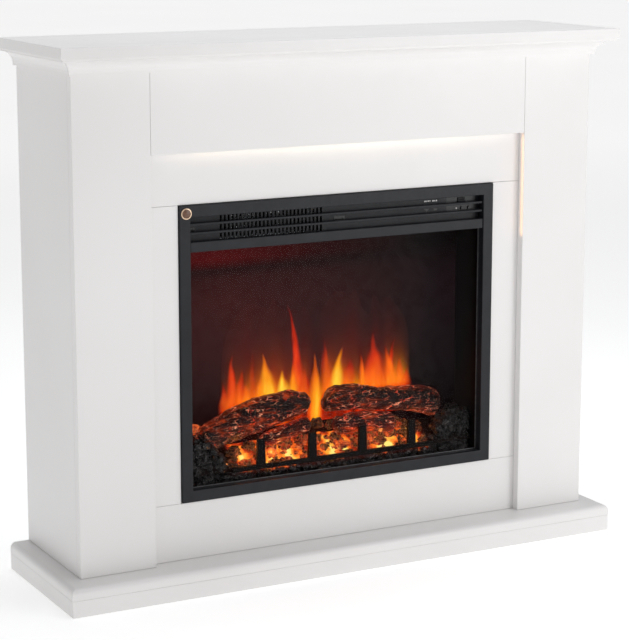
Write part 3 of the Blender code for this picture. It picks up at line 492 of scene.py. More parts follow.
def piece(name, bm_or_mesh, material, replaces=(), smooth_angle=None):
    """Makes an object from a bmesh or mesh, gives it its material and puts it on the fixed body."""
    if isinstance(bm_or_mesh, bmesh.types.BMesh):
        mesh = bpy.data.meshes.new(name)
        bmesh.ops.recalc_face_normals(bm_or_mesh, faces=bm_or_mesh.faces)
        bm_or_mesh.to_mesh(mesh)
        bm_or_mesh.free()
    else:
        mesh = bm_or_mesh
    mesh.materials.append(material)
    made = bpy.data.objects.new(name, mesh)
    show(made)
    if smooth_angle is not None:
        mesh.shade_smooth()
        mesh.set_sharp_from_angle(angle=math.radians(smooth_angle))
    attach(made, ROOT)
    if replaces:
        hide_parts(*replaces)
    return made


def write_attribute(mesh, name, values):
    made = mesh.attributes.new(name, "FLOAT", "POINT")
    made.data.foreach_set("value", np.asarray(values, np.float32))


def new_mesh(name, verts, faces, **attributes):
    mesh = bpy.data.meshes.new(name)
    mesh.from_pydata(verts, [], faces)
    for key, values in attributes.items():
        write_attribute(mesh, key, values)
    return mesh


def turn_profile(bm, x, z, profile, steps):
    """Turns (radius, y) points round the line along Y through x and z. The first ring is closed by a face."""
    rings = []
    for r, y in profile:
        rings.append([bm.verts.new((x + r * math.cos(2 * math.pi * k / steps), y,
                                    z + r * math.sin(2 * math.pi * k / steps))) for k in range(steps)])
    for near, far in zip(rings, rings[1:]):
        for k in range(steps):
            bm.faces.new((near[k], near[(k + 1) % steps], far[(k + 1) % steps], far[k]))
    bm.faces.new(rings[0])
    return rings[-1]


def add_box(bm, low, high):
    made = bmesh.ops.create_cube(bm, size=1.0)["verts"]
    bmesh.ops.scale(bm, vec=[b - a for a, b in zip(low, high)], verts=made)
    bmesh.ops.translate(bm, vec=[(a + b) / 2 for a, b in zip(low, high)], verts=made)
    return made


def glow_near(point):
    """How much painted light from the bed falls on a point: most low down in the middle of the grate, none at
    the end heaps.
    """
    span = GRATE_HIGH.x
    edge = max(0.0, 1.0 - (abs(point.x) / (span * 1.04)) ** 6)
    low = math.exp(-max(0.0, point.z - (BED_TOP - 0.008)) / 0.030)
    return edge * low


def smooth_route(points, count):
    """Points (x, y, z, radius) eased through the given ones, evenly spaced along x."""
    keys = np.array(points, float)
    xs = np.linspace(keys[0, 0], keys[-1, 0], count)
    columns = [xs]
    for column in range(1, 4):
        slopes = np.gradient(keys[:, column], keys[:, 0])
        values = []
        for x in xs:
            i = min(int(np.searchsorted(keys[:, 0], x, side="right")) - 1, len(keys) - 2)
            span = keys[i + 1, 0] - keys[i, 0]
            t = (x - keys[i, 0]) / span
            h = (2 * t**3 - 3 * t**2 + 1, t**3 - 2 * t**2 + t, -2 * t**3 + 3 * t**2, t**3 - t**2)
            values.append(h[0] * keys[i, column] + h[1] * span * slopes[i]
                          + h[2] * keys[i + 1, column] + h[3] * span * slopes[i + 1])
        columns.append(np.array(values))
    return np.stack(columns, 1)


def painted_log_light(point, up, painted_rim_light):
    """Painted light: red from the embers on the underside, which faces them, and a rim of light from the
    flames in a band along the top, which faces them.
    """
    low = glow_near(point)
    return min(1.0, low * (0.9 - 0.5 * up) + 0.16 * max(0.0, -up) + painted_rim_light * max(0.0, up) ** 6)


def log_mesh(name, points, seed, flat, painted_rim_light, along):
    """A charred log: rings along a route, pushed in and out by ridges and cracks, with broken ends."""
    around = LOG_AROUND
    route = smooth_route(points, along)
    shift = Vector((seed * 3.1, seed * 1.7, seed * 2.3))
    verts, glow_levels, cracks = [], [], []

    def put(centre, radius, turn, out, depth):
        across, up = math.cos(turn), math.sin(turn)
        base = Vector((centre[0], centre[1] + flat * radius * across, centre[2] + radius * up))
        furrow = noise.noise(Vector((base.x * 14.0, base.y * 95.0, base.z * 95.0)) + shift)
        knobs = noise.noise(base * 34.0 + shift)
        nearest = noise.voronoi(Vector((base.x * 42.0, base.y * 100.0, base.z * 100.0)) + shift)[0]
        gap = math.exp(-(nearest[1] - nearest[0]) / 0.13)
        long_gap = math.exp(-abs(furrow) / 0.085)
        push = RIDGE_RISE * abs(furrow) + KNOB_RISE * knobs
        push -= out * (GAP_DEPTH * gap + FURROW_DEPTH * long_gap)
        verts.append(Vector((base.x + depth, base.y + flat * push * across, base.z + push * up)))
        cracks.append(out * max(0.22 * gap, long_gap))
        # Painted light from the embers and the flames at this point.
        glow_levels.append(painted_log_light(base, up, painted_rim_light))

    def cap(centre, radius, side):
        """Rings from the middle of an end outwards, with growth rings and a ragged face."""
        for step in range(LOG_CAP_RINGS):
            share = step / LOG_CAP_RINGS
            for number in range(around):
                turn = 2 * math.pi * number / around
                rough = noise.noise(Vector((share * 4, math.cos(turn), math.sin(turn))) * 2.0 + shift)
                rings = 0.0007 * math.sin(share * radius / 0.0032 * math.pi * 2)
                depth = side * (0.0040 * math.sqrt(max(0.0, 1 - share**2)) + 0.0028 * rough + rings)
                put(centre, radius * share, turn, 0.3, depth)

    from_end = [min(i, along - 1 - i) for i in range(along)]
    ease = [min(1.0, LOG_NECK + (1 - LOG_NECK) * math.sqrt(steps / 5)) for steps in from_end]
    cap(route[0], route[0][3] * LOG_NECK, -1)
    for i in range(along):
        for number in range(around):
            put(route[i], route[i][3] * ease[i], 2 * math.pi * number / around, 1.0, 0.0)
    middle = len(verts)
    cap(route[-1], route[-1][3] * LOG_NECK, 1)
    rings = [list(range(k * around, (k + 1) * around)) for k in range(LOG_CAP_RINGS + along)]
    tail = [list(range(middle + k * around, middle + (k + 1) * around)) for k in range(LOG_CAP_RINGS)]
    rings += tail[::-1]
    faces = []
    for near, far in zip(rings, rings[1:]):
        for number in range(around):
            after = (number + 1) % around
            faces.append((near[number], near[after], far[after], far[number]))
    mesh = new_mesh(name, verts, faces, warmth=glow_levels, crack=cracks)
    clean = bmesh.new()
    clean.from_mesh(mesh)
    bmesh.ops.remove_doubles(clean, verts=clean.verts, dist=0.00002)
    bmesh.ops.recalc_face_normals(clean, faces=clean.faces)
    clean.to_mesh(mesh)
    clean.free()
    return mesh


def make_logs(material):
    """The four moulded logs. Each point is (x, y, height above the ember bed's top, radius)."""
    back = (BED_HIGH.y + GRATE_HIGH.y) / 2
    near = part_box("lower_left_log")[0].y + 0.014
    # After each log's points: how flat it is, its seed and the strength of its painted rim light from the
    # flames.
    routes = {
        "left_log": ([(-0.276, back - 0.006, 0.031, 0.0240), (-0.247, back - 0.005, 0.038, 0.0285),
                      (-0.190, back - 0.002, 0.056, 0.0330), (-0.130, back, 0.068, 0.0330),
                      (-0.067, back + 0.003, 0.0765, 0.0245), (-0.040, back + 0.004, 0.0770, 0.0180)],
                     0.84, 2.0, 0.42),
        "right_log": ([(-0.003, back + 0.001, 0.0700, 0.0150), (0.014, back + 0.001, 0.0780, 0.0240),
                       (0.035, back, 0.0785, 0.0260), (0.109, back, 0.0690, 0.0235),
                       (0.177, back, 0.0615, 0.0250), (0.232, back, 0.0500, 0.0290),
                       (0.250, back, 0.0470, 0.0260)], 0.90, 5.0, 0.42),
        "lower_left_log": ([(-0.150, near, 0.0190, 0.0115), (-0.100, near, 0.0285, 0.0145),
                            (-0.050, near, 0.0385, 0.0155)], 0.9, 8.0, 0.95),
        "lower_right_log": ([(0.010, near, 0.0300, 0.0185), (0.075, near, 0.0290, 0.0205),
                             (0.140, near, 0.0220, 0.0195)], 0.75, 11.0, 0.5),
    }
    for name, (points, flat, seed, painted_rim_light) in routes.items():
        placed = [(x, y, BED_TOP + above, radius) for x, y, above, radius in points]
        count = LOG_LONG if len(points) > 3 else LOG_SHORT
        mesh = log_mesh("burnt_" + name, placed, seed, flat, painted_rim_light, count)
        piece("burnt_" + name, mesh, material, (name,), 55)


def add_lump(bm, centre, size, seed, jagged, facets):
    """One irregular lump of coal or clinker."""
    made = bmesh.ops.create_icosphere(bm, subdivisions=facets, radius=1.0)["verts"]
    shift = Vector((seed * 1.37, seed * 2.11, seed * 0.73))
    for vert in made:
        direction = vert.co.normalized()
        broad = noise.noise(direction * 1.3 + shift)
        cells = noise.voronoi(direction * 2.1 + shift)[0]
        push = 1.0 + jagged * (0.55 * broad + 0.9 * (cells[0] - 0.45))
        push += 0.08 * noise.noise(direction * 6.0 + shift)
        vert.co = Vector(centre) + Vector([a * b * push for a, b in zip(direction, size)])


def lump_piece(name, lumps, material, jagged, glow_at, replaces=(), facets=3):
    """Lumps given as (place, size). A call with a point gives the painted glow level there."""
    bm = bmesh.new()
    for number, (centre, size) in enumerate(lumps):
        add_lump(bm, centre, size, number + len(name) * 0.61, jagged, facets)
    glow_levels = [glow_at(vert.co) for vert in bm.verts]
    made = piece(name, bm, material, replaces, 38)
    write_attribute(made.data, "warmth", glow_levels)
    return made


def heap_height(x):
    """Height of the coal bank's top at x: low in the middle, heaped at both ends."""
    inward = max(0.0, (COAL_HIGH.x - abs(x)) / HEAP_LENGTH)
    low = COAL_LOW.z + BANK_HEIGHT
    return low + (COAL_HIGH.z - low) * max(0.0, 1.0 - inward**3)


def make_coals(material):
    """The bank of coals along the window's foot, then a heap in each back corner."""
    draw = random.Random(41)
    rows = []
    x = COAL_LOW.x + 0.010
    while x < COAL_HIGH.x - 0.008:
        top = heap_height(x)
        z = COAL_LOW.z + 0.006
        while z < top:
            size = [draw.uniform(*COAL_SIZE) for _ in range(3)]
            y = COAL_LOW.y + 0.0125 + draw.uniform(-0.001, 0.003) + 0.20 * (z - COAL_LOW.z)
            place = (x + draw.uniform(-0.004, 0.004), y, min(z + draw.uniform(-0.002, 0.002), top - 0.004))
            rows.append((place, (size[0] * 1.15, min(size[1], 0.0098), size[2])))
            z += draw.uniform(0.010, 0.014)
        x += draw.uniform(0.0125, 0.0165)
    third = len(rows) // 3

    # Painted red light from the embers on the coals above the foot of the bank.
    def painted_ember_light(point):
        return 0.22 * glow_near(point) * (point.z > COAL_LOW.z + 0.02)

    lump_piece("left_coals", rows[:third], material, 0.6, painted_ember_light, ("coal_bed",))
    lump_piece("middle_coals", rows[third:-third], material, 0.6, painted_ember_light)
    lump_piece("right_coals", rows[-third:], material, 0.6, painted_ember_light)
    heaps = []
    for side in (-1, 1):
        for row in range(HEAP_ROWS):
            y = BED_LOW.y + 0.006 + row * 0.017
            for column in range(HEAP_COLUMNS):
                x = side * (COAL_HIGH.x - 0.012 - column * 0.0155)
                top = heap_height(x) + 0.004 - row * 0.004
                z = BED_TOP - 0.006
                while z < top:
                    size = [draw.uniform(*HEAP_LUMP_SIZE) for _ in range(3)]
                    place = (x + draw.uniform(-0.003, 0.003), y + draw.uniform(-0.003, 0.003), z)
                    heaps.append((place, size))
                    z += 0.014
    lump_piece("end_heaps", heaps, material, 0.6, lambda point: 0.0)


SLOPE_FRONT = GRATE_HIGH.y + 0.0012
SLOPE_BACK = BED_HIGH.y - 0.001
SLOPE_FOOT = BED_LOW.z + 0.030


def make_hot_slope(material):
    """The translucent slope behind the grate, hottest in spots along its foot."""
    half = BED_HIGH.x - 0.001
    top = BED_HIGH.z + 0.004
    verts, glow_levels, faces = [], [], []
    for row in range(SLOPE_DEEP + 1):
        share = row / SLOPE_DEEP
        for column in range(SLOPE_ACROSS + 1):
            x = -half + 2 * half * column / SLOPE_ACROSS
            y = SLOPE_FRONT + (SLOPE_BACK - SLOPE_FRONT) * share
            z = SLOPE_FOOT + (top - SLOPE_FOOT) * (1 - (1 - share) ** 3)
            z += 0.0024 * noise.fractal(Vector((x, y, z)) * 70.0, 0.8, 2.0, 3)
            verts.append((x, y, z))
            near = max(math.exp(-(((x - spot) / HOT_SPOT_WIDTH) ** 2)) for spot in HOT_SPOTS)
            inside = min(1.0, max(0.0, (GRATE_HIGH.x - 0.004 - abs(x)) / 0.024))
            glow_levels.append(inside * (0.40 + 0.58 * near) * (1.0 - 0.45 * share))
    for row in range(SLOPE_DEEP):
        for column in range(SLOPE_ACROSS):
            a = row * (SLOPE_ACROSS + 1) + column
            faces.append((a, a + 1, a + SLOPE_ACROSS + 2, a + SLOPE_ACROSS + 1))
    mesh = new_mesh("hot_slope", verts, faces, warmth=glow_levels)
    made = piece("hot_slope", mesh, material, ("ember_bed",), 60)
    thick = made.modifiers.new("Solidify", "SOLIDIFY")
    thick.thickness = SLOPE_THICKNESS
    thick.offset = -1.0


def make_clinkers(material):
    """Dark clinkers in rows up the slope, and a few between the logs."""
    draw = random.Random(12)
    lumps = []
    for level in range(CLINKER_LEVELS):
        y = SLOPE_FRONT + 0.0065 + level * 0.0085
        x = -GRATE_HIGH.x + 0.004 + level * 0.006
        while x < GRATE_HIGH.x - 0.004:
            radius = draw.choice(CLINKER_SIZES) * draw.uniform(0.85, 1.1)
            z = SLOPE_FOOT + 0.003 + level * 0.0105 + draw.uniform(-0.004, 0.005)
            size = (radius * draw.uniform(0.9, 1.4), min(radius, 0.0075), radius * draw.uniform(0.65, 1.0))
            lumps.append(((x, y + draw.uniform(-0.001, 0.002), z), size))
            x += radius * draw.uniform(1.7, 3.6)
    for x, above, radius in ((-0.022, 0.046, 0.0105), (0.006, 0.040, 0.0085), (0.150, 0.030, 0.0100),
                             (0.172, 0.022, 0.0085)):
        place = (x, SLOPE_FRONT + 0.030, BED_TOP + above - 0.012)
        lumps.append((place, (radius, radius * 0.9, radius)))

    # Painted light from the bed on the clinkers, spread at random.
    def rim(point):
        return min(1.0, 0.06 + 0.60 * glow_near(point) * (0.6 + 0.7 * noise.noise(point * 55.0)))

    lump_piece("ember_lumps", lumps, material, 0.8, rim)


def make_stub(material):
    """The end of a glowing log at the window's left edge."""
    place = (-COAL_HIGH.x + 0.028, SLOPE_BACK - 0.016, BED_TOP + 0.046)
    size = (0.027, 0.012, 0.0110)
    lump_piece("glowing_stub", [(place, size)], material, 0.25, lambda point: 0.50, facets=4)


def make_grate(material):
    """The cast bar with four tapered posts, each with a rib down its front."""
    bm = bmesh.new()
    low, high = GRATE_LOW, GRATE_HIGH
    back = high.y - 0.0005
    add_box(bm, low, (high.x, back, low.z + GRATE_BAR))
    pitch = (high.x - low.x) / GRATE_POSTS
    for number in range(GRATE_POSTS):
        x = low.x + (number + 0.5) * pitch + GRATE_POST_SHIFT
        post = add_box(bm, (x - POST_HALF, low.y, low.z + GRATE_BAR - 0.001), (x + POST_HALF, back, high.z))
        for vert in post:
            if vert.co.z > high.z - 0.001:
                vert.co.x = x + (vert.co.x - x) * POST_TAPER
        add_box(bm, (x - RIB_HALF, low.y - 0.0002, low.z + GRATE_BAR + 0.004),
                (x + RIB_HALF, low.y + 0.002, high.z - 0.012))
    made = piece("iron_grate", bm, material, ("fire_grate",))
    bevel = made.modifiers.new("Bevel", "BEVEL")
    bevel.width = GRATE_BEVEL
    bevel.segments = 3
    bevel.limit_method = "ANGLE"


# ---- flames


def lattice(x, z, seed):
    """Smooth noise from -1 to 1 on unit cells."""
    table = np.random.RandomState(seed).uniform(-1, 1, (LATTICE, LATTICE))
    x0, z0 = np.floor(x).astype(int), np.floor(z).astype(int)
    fx, fz = x - x0, z - z0
    fx, fz = fx * fx * (3 - 2 * fx), fz * fz * (3 - 2 * fz)
    corners = ((0, 0), (1, 0), (0, 1), (1, 1))
    corner = [table[(x0 + i) % LATTICE, (z0 + j) % LATTICE] for i, j in corners]
    low = corner[0] * (1 - fx) + corner[1] * fx
    return low * (1 - fz) + (corner[2] * (1 - fx) + corner[3] * fx) * fz


# Each tongue: foot x, tip x, foot and tip heights above the ember bed's top, half width, heat, cover
TONGUES = {
    "front_flames": (
        (-0.190, -0.191, 0.070, 0.183, 0.0095, 0.42, 0.80),
        (-0.108, -0.123, 0.090, 0.178, 0.0125, 0.86, 1.00),
        (-0.077, -0.078, 0.090, 0.140, 0.0110, 0.98, 1.00),
        (-0.006, -0.007, 0.035, 0.168, 0.0125, 0.80, 1.00),
        (0.043, 0.050, 0.095, 0.172, 0.0115, 0.94, 1.00),
        (0.126, 0.126, 0.080, 0.196, 0.0200, 0.50, 0.92),
        (0.166, 0.149, 0.080, 0.168, 0.0110, 0.64, 0.85),
        (0.198, 0.202, 0.070, 0.118, 0.0110, 0.52, 0.75),
    ),
    "middle_flames": (
        (-0.174, -0.168, 0.070, 0.150, 0.0110, 0.50, 0.75),
        (-0.142, -0.146, 0.080, 0.188, 0.0100, 0.28, 0.40),
        (-0.054, -0.051, 0.090, 0.150, 0.0080, 0.72, 0.85),
        (0.018, 0.015, 0.090, 0.195, 0.0100, 0.52, 0.55),
        (0.101, 0.093, 0.085, 0.154, 0.0060, 0.66, 0.90),
        (0.160, 0.178, 0.110, 0.180, 0.0060, 0.30, 0.80),
        (0.186, 0.190, 0.070, 0.140, 0.0130, 0.60, 0.75),
    ),
    "rear_flames": (
        (-0.040, -0.068, 0.110, 0.268, 0.0075, 0.36, 0.95),
        (-0.202, -0.206, 0.060, 0.128, 0.0090, 0.46, 0.65),
        (-0.160, -0.155, 0.080, 0.120, 0.0130, 0.66, 0.80),
        (-0.122, -0.128, 0.085, 0.130, 0.0130, 0.74, 0.80),
        (-0.025, -0.030, 0.070, 0.140, 0.0100, 0.44, 0.60),
        (0.030, 0.034, 0.090, 0.130, 0.0090, 0.60, 0.70),
        (0.068, 0.072, 0.090, 0.150, 0.0120, 0.42, 0.60),
        (0.112, 0.108, 0.080, 0.130, 0.0150, 0.70, 0.85),
        (0.146, 0.140, 0.080, 0.125, 0.0150, 0.72, 0.85),
    ),
}


def flame_field(x, height, tongues, layer):
    """Cover and heat of one sheet of flame at x and at a height above the ember bed."""
    sway = np.clip(height / 0.12, 0, 1.4)
    warped = x + 0.0042 * sway * lattice(x * 38, height * 16, 11 + layer)
    warped += 0.0016 * sway * lattice(x * 120, height * 50, 21 + layer)
    clear = np.ones_like(x)
    total = np.zeros_like(x)
    weight = np.full_like(x, 1e-6)
    for foot_x, tip_x, foot, tip, half, heat, cover in tongues:
        t = (height - foot) / (tip - foot)
        inside = np.clip(t, 0, 1)
        middle = foot_x + (tip_x - foot_x) * inside**1.2
        belly = 1.0 + 0.35 * np.sin(math.pi * np.clip(inside * 1.3, 0, 1))
        width = half * belly * np.clip(1 - inside, 0.0, 1) ** 0.78 + 0.0003
        across = np.abs(warped - middle) / width
        edge = np.clip((1.55 - across) / 1.35, 0, 1)
        edge = edge * edge * (3 - 2 * edge)
        fade = np.clip((1.02 - t) / 0.45, 0, 1) ** 0.8
        below = np.clip(1 + t * (tip - foot) / 0.045, 0, 1)
        here = cover * edge * np.where(t > 1, 0, fade) * below
        clear *= 1 - here
        total += here * (heat + 0.10 * (1 - across.clip(0, 1)) - 0.34 * inside**1.4)
        weight += here
    if layer == 2:
        left, right = FLAME_EDGES
        ends = np.clip((x - left) / 0.020, 0, 1) * np.clip((right - x) / 0.020, 0, 1)
        base = 0.085 + 0.010 * np.sin(x * 40) - 0.055 * np.exp(-(((x + 0.006) / 0.014) ** 2))
        haze = ends * np.exp(-np.clip(height - base, 0, 1) / 0.021)
        haze *= 0.9 + 0.1 * lattice(x * 90, height * 20, 5)
        soft_ends = np.clip((x - left) / 0.060, 0, 1) * np.clip((right - x) / 0.060, 0, 1)
        streaks = 0.75 + 0.45 * lattice(warped * 70, height * 9, 41)
        veil = 0.66 * soft_ends * streaks * np.exp(-np.clip(height - base, 0, 1) / 0.042)
        for here, heat in ((haze.clip(0, 1), 0.86), (veil.clip(0, 1), 0.34)):
            clear *= 1 - here
            total += here * heat
            weight += here
    under = (np.clip((height - 0.066) / 0.022, 0, 1) + np.exp(-(((x + 0.006) / 0.013) ** 4))).clip(0, 1)
    dulled = np.where(x < -0.02, 0.64, 0.40)
    patchy = 0.55 + 0.45 * lattice(x * 110, height * 110, 51)
    cover = (1 - clear) * (under + (1 - under) * patchy)
    return cover, (total / weight * (dulled + (1 - dulled) * under)).clip(0, 1)


def make_flames(material):
    """Three thin sheets of flame, one behind the other, just in front of the screen."""
    xs = np.arange(FLAME_EDGES[0] - 0.012, FLAME_EDGES[1] + 0.012, FLAME_CELL)
    heights = np.arange(*FLAME_HEIGHTS, FLAME_CELL * 1.25)
    grid_x, grid_h = np.meshgrid(xs, heights, indexing="ij")
    for layer, (name, tongues) in enumerate(TONGUES.items()):
        cover, heat = flame_field(grid_x, grid_h, tongues, layer)
        y = SCREEN_LOW.y - 0.0010 - SHEET_GAP * (2 - layer)
        wave = y + 0.0004 * lattice(grid_x * 60, grid_h * 24, 31 + layer)
        places = np.stack([grid_x, wave, BED_TOP + grid_h], -1)
        seen = cover > 0.006
        keep = seen[:-1, :-1] | seen[1:, :-1] | seen[:-1, 1:] | seen[1:, 1:]
        index = np.arange(cover.size).reshape(cover.shape)
        quads = np.stack([index[:-1, :-1], index[1:, :-1], index[1:, 1:], index[:-1, 1:]], -1)[keep]
        used, new = np.unique(quads, return_inverse=True)
        mesh = new_mesh(name, places.reshape(-1, 3)[used].tolist(), new.reshape(-1, 4).tolist(),
                        warmth=heat.reshape(-1)[used], cover=cover.reshape(-1)[used])
        made = piece(name, mesh, material)
        made.data.shade_smooth()
        made.visible_shadow = False


# ---- small fittings


def make_badge(ring_look, middle_look):
    """A plain round badge: a bright ring round a brown middle with a shallow dimple."""
    low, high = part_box("badge")
    x, z = (low.x + high.x) / 2, (low.z + high.z) / 2
    radius = (high.x - low.x) / 2
    front, back = low.y, high.y

    def turned(profile):
        bm = bmesh.new()
        bm.faces.new(turn_profile(bm, x, z, profile, 48)[::-1])
        return bm

    ring = turned([(radius, back), (radius, front + 0.0004), (radius * 0.95, front), (radius * 0.84, front),
                   (radius * 0.80, front + 0.0004), (radius * 0.79, back)])
    piece("badge_ring", ring, ring_look, ("badge",), 40)
    disc = turned([(radius * 0.78, back), (radius * 0.78, front + 0.0007), (radius * 0.70, front + 0.0005),
                   (radius * 0.30, front + 0.0005), (radius * 0.26, front + 0.0002),
                   (radius * 0.05, front + 0.0001)])
    piece("badge_middle", disc, middle_look, (), 40)


def make_dashes(material):
    """A row of short printed dashes above the upper blade, with one wider space in it."""
    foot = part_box("upper_louvre")[1].z + 0.0038
    bm = bmesh.new()
    x = PANEL_LEFT - 0.0485
    for group in ((0.0030, 0.0018, 0.0026, 0.0022), (0.0034, 0.0020, 0.0028)):
        for width in group:
            add_box(bm, (x, GRILLE_FRONT - 0.0005, foot), (x + width, GRILLE_FRONT - 0.0001, foot + 0.0028))
            x += width + 0.0014
        x += 0.0026
    piece("printed_dashes", bm, material)


def make_arrows(material, middle):
    """Two marks that point down, level with the push buttons."""
    bm = bmesh.new()
    for inward in (0.0430, 0.0235):
        x = PANEL_LEFT - inward
        points = ((x - 0.0058, middle + 0.0030), (x + 0.0058, middle + 0.0030), (x, middle - 0.0032))
        flat = bm.faces.new([bm.verts.new((a, GRILLE_FRONT - 0.0003, b)) for a, b in points])
        moved = bmesh.ops.extrude_face_region(bm, geom=[flat])["geom"]
        verts = [item for item in moved if isinstance(item, bmesh.types.BMVert)]
        bmesh.ops.translate(bm, vec=(0, 0.00022, 0), verts=verts)
    piece("arrow_marks", bm, material)


def make_latches(material, middle):
    """Two small catches on the grille plate, each a tab with a raised lip."""
    bm = bmesh.new()
    face = GRILLE_FRONT
    for x0, x1 in ((-0.0080, 0.0150), (-0.3110, -0.2990)):
        add_box(bm, (x0, face - 0.0006, middle - 0.0042), (x1, face - 0.0001, middle + 0.0030))
        add_box(bm, (x1 - 0.0050, face - 0.0012, middle - 0.0042), (x1, face - 0.0004, middle + 0.0010))
    piece("latch_notches", bm, material)


def make_glass_bead(material):
    """The thin bright edge that holds the glass, just inside the trim."""
    bar_low, bar_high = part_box("trim_crossbar")
    x0, x1 = bar_low.x, bar_high.x
    border = TRIM_HIGH.x - bar_high.x
    z0 = TRIM_LOW.z + border + 0.0004
    z1 = bar_low.z
    y0, y1 = GLASS_FRONT - 0.0022, GLASS_FRONT - 0.0002
    thin = 0.0011
    bm = bmesh.new()
    for x_low, x_high, z_low, z_high in ((x0, x0 + thin, z0, z1), (x1 - thin, x1, z0, z1),
                                         (x0 + thin, x1 - thin, z0, z0 + thin)):
        add_box(bm, (x_low, y0, z_low), (x_high, y1, z_high))
    piece("glass_bead", bm, material)


def add_screw(bm, place, radius):
    """A pan head with a dimpled recess, facing +Y."""
    steps = 20
    x, y, z = place
    shape = ((1.0, 0.0), (1.0, 0.25), (0.86, 0.62), (0.55, 0.92), (0.30, 1.0))
    last = turn_profile(bm, x, z, [(radius * r, y + rise * radius * 0.6) for r, rise in shape], steps)
    centre = bm.verts.new((x, y + radius * 0.35, z))
    for k in range(steps):
        bm.faces.new((last[k], last[(k + 1) % steps], centre))


def make_screws(material):
    """Screws round the edge of the casing's back."""
    bm = bmesh.new()
    y = SHELL_HIGH.y + 0.0002
    inset = 0.010
    radius = 0.0036
    for number in range(6):
        x = SHELL_LOW.x + inset + (SHELL_HIGH.x - SHELL_LOW.x - 2 * inset) * number / 5
        for z in (SHELL_LOW.z + inset, SHELL_HIGH.z - inset / 2 - 0.002):
            add_screw(bm, (x, y, z), radius)
    for number in range(1, 4):
        z = SHELL_LOW.z + (SHELL_HIGH.z - SHELL_LOW.z) * number / 4
        for x in (SHELL_LOW.x + inset / 2 + 0.001, SHELL_HIGH.x - inset / 2 - 0.001):
            add_screw(bm, (x, y, z), radius)
    piece("casing_screws", bm, material, (), 30)


# ---- studio


def make_camera():
    data = bpy.data.cameras.new("camera")
    data.lens = CAMERA_LENS
    data.shift_x, data.shift_y = CAMERA_SHIFT
    made = bpy.data.objects.new("camera", data)
    made.location = CAMERA_PLACE
    made.rotation_euler = (math.pi / 2 + CAMERA_PITCH, 0.0, -CAMERA_YAW)
    show(made)
    bpy.context.scene.camera = made


def area_light(name, place, target, size, power, colour=(1.0, 1.0, 1.0), spread=math.pi):
    data = bpy.data.lights.new(name, "AREA")
    data.shape = "RECTANGLE"
    data.size, data.size_y = size
    data.energy = power
    data.color = colour
    data.spread = spread
    made = bpy.data.objects.new(name, data)
    made.location = place
    aim = Vector(target) - Vector(place)
    made.rotation_euler = aim.to_track_quat("-Z", "Y").to_euler()
    show(made)
    return made


def make_studio():
    """A white background that darkens upwards, a key from the front right and a soft light above."""
    scene = bpy.context.scene
    scene.view_settings.view_transform = "Standard"
    world = bpy.data.worlds.new("studio")
    world.use_nodes = True
    nodes = world.node_tree.nodes
    link = world.node_tree.links.new
    coordinate = nodes.new("ShaderNodeTexCoord")
    split = nodes.new("ShaderNodeSeparateXYZ")
    ramp = nodes.new("ShaderNodeValToRGB")
    link(coordinate.outputs["Generated"], split.inputs["Vector"])
    link(split.outputs["Z"], ramp.inputs["Fac"])
    link(ramp.outputs["Color"], nodes["Background"].inputs["Color"])
    low, high = ramp.color_ramp.elements
    low.position, low.color = 0.0, (0.88, 0.88, 0.88, 1.0)
    high.position, high.color = 0.42, (0.36, 0.36, 0.36, 1.0)
    scene.world = world
    area_light("key", KEY_PLACE, KEY_TARGET, KEY_SIZE, KEY_POWER)
    area_light("top", TOP_PLACE, TOP_TARGET, TOP_SIZE, TOP_POWER, (0.95, 0.97, 1.0))


def make_floor():
    """A wide pale floor, a little brighter far away, so that it meets the background softly."""
    bm = bmesh.new()
    bmesh.ops.create_grid(bm, x_segments=8, y_segments=8, size=FLOOR_HALF)
    mesh = bpy.data.meshes.new("floor")
    bm.to_mesh(mesh)
    bm.free()
    floor = bpy.data.objects.new("floor", mesh)
    floor.location.z = CAD_BOX[0].z
    look = Look("studio_floor", (0.9, 0.9, 0.9), 0.9, specular=0.1)
    look.tint(look.noise(0.7), (0.88, 0.88, 0.88), (0.92, 0.92, 0.92))
    look.set("Emission Color", (1.0, 1.0, 1.0, 1.0))
    reach = look.tree.nodes.new("ShaderNodeVectorMath")
    reach.operation = "LENGTH"
    look.link(look.place, reach.inputs[0])
    glow = look.between(reach.outputs["Value"], 2.0, 7.0, FLOOR_GLOW_NEAR, FLOOR_GLOW_FAR)
    look.link(glow, "Emission Strength")
    look.quiet()
    mesh.materials.append(look.material)
    show(floor)


def make_fire_lights():
    """Lamps of the fire's colour, which light the logs and coals as the glow would."""
    middle = (FLAME_EDGES[0] + FLAME_EDGES[1]) / 2
    wide = FLAME_EDGES[1] - FLAME_EDGES[0]
    area_light("flame_light", (middle, SCREEN_LOW.y - 0.005, BED_TOP + 0.115),
               (middle, GLASS_FRONT, BED_TOP + 0.02), (wide, 0.05), FLAME_POWER, FIRE_ORANGE)
    for number, x in enumerate(EMBER_LAMPS):
        data = bpy.data.lights.new("ember_light", "POINT")
        data.energy = EMBER_POWER
        data.color = FIRE_ORANGE
        data.shadow_soft_size = 0.004
        lamp = bpy.data.objects.new("ember_light_" + str(number), data)
        lamp.location = (x, GRATE_HIGH.y + 0.006, BED_TOP + 0.004)
        show(lamp)


def make_downlight():
    """The strip under the frieze, and its warm light on the right pilaster's return."""
    reach = LIGHT_HIGH.x
    for number, (share, power) in enumerate(DOWNLIGHTS):
        place = (share * reach, LIGHT_LOW.y + 0.004, FRIEZE_FOOT - 0.0015)
        area_light("downlight_" + str(number), place, (place[0], place[1] + 0.012, place[2] - 0.02),
                   (reach * 0.60, 0.005), power, DOWNLIGHT_COLOUR)
    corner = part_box("right_pilaster")[0].x
    place = (corner - 0.008, LIGHT_LOW.y - 0.001, FRIEZE_FOOT - 0.105)
    area_light("downlight_end", place, (corner, place[1], place[2]), (0.004, 0.200), END_LIGHT_POWER,
               END_LIGHT_COLOUR, 1.9)


# ---- the whole


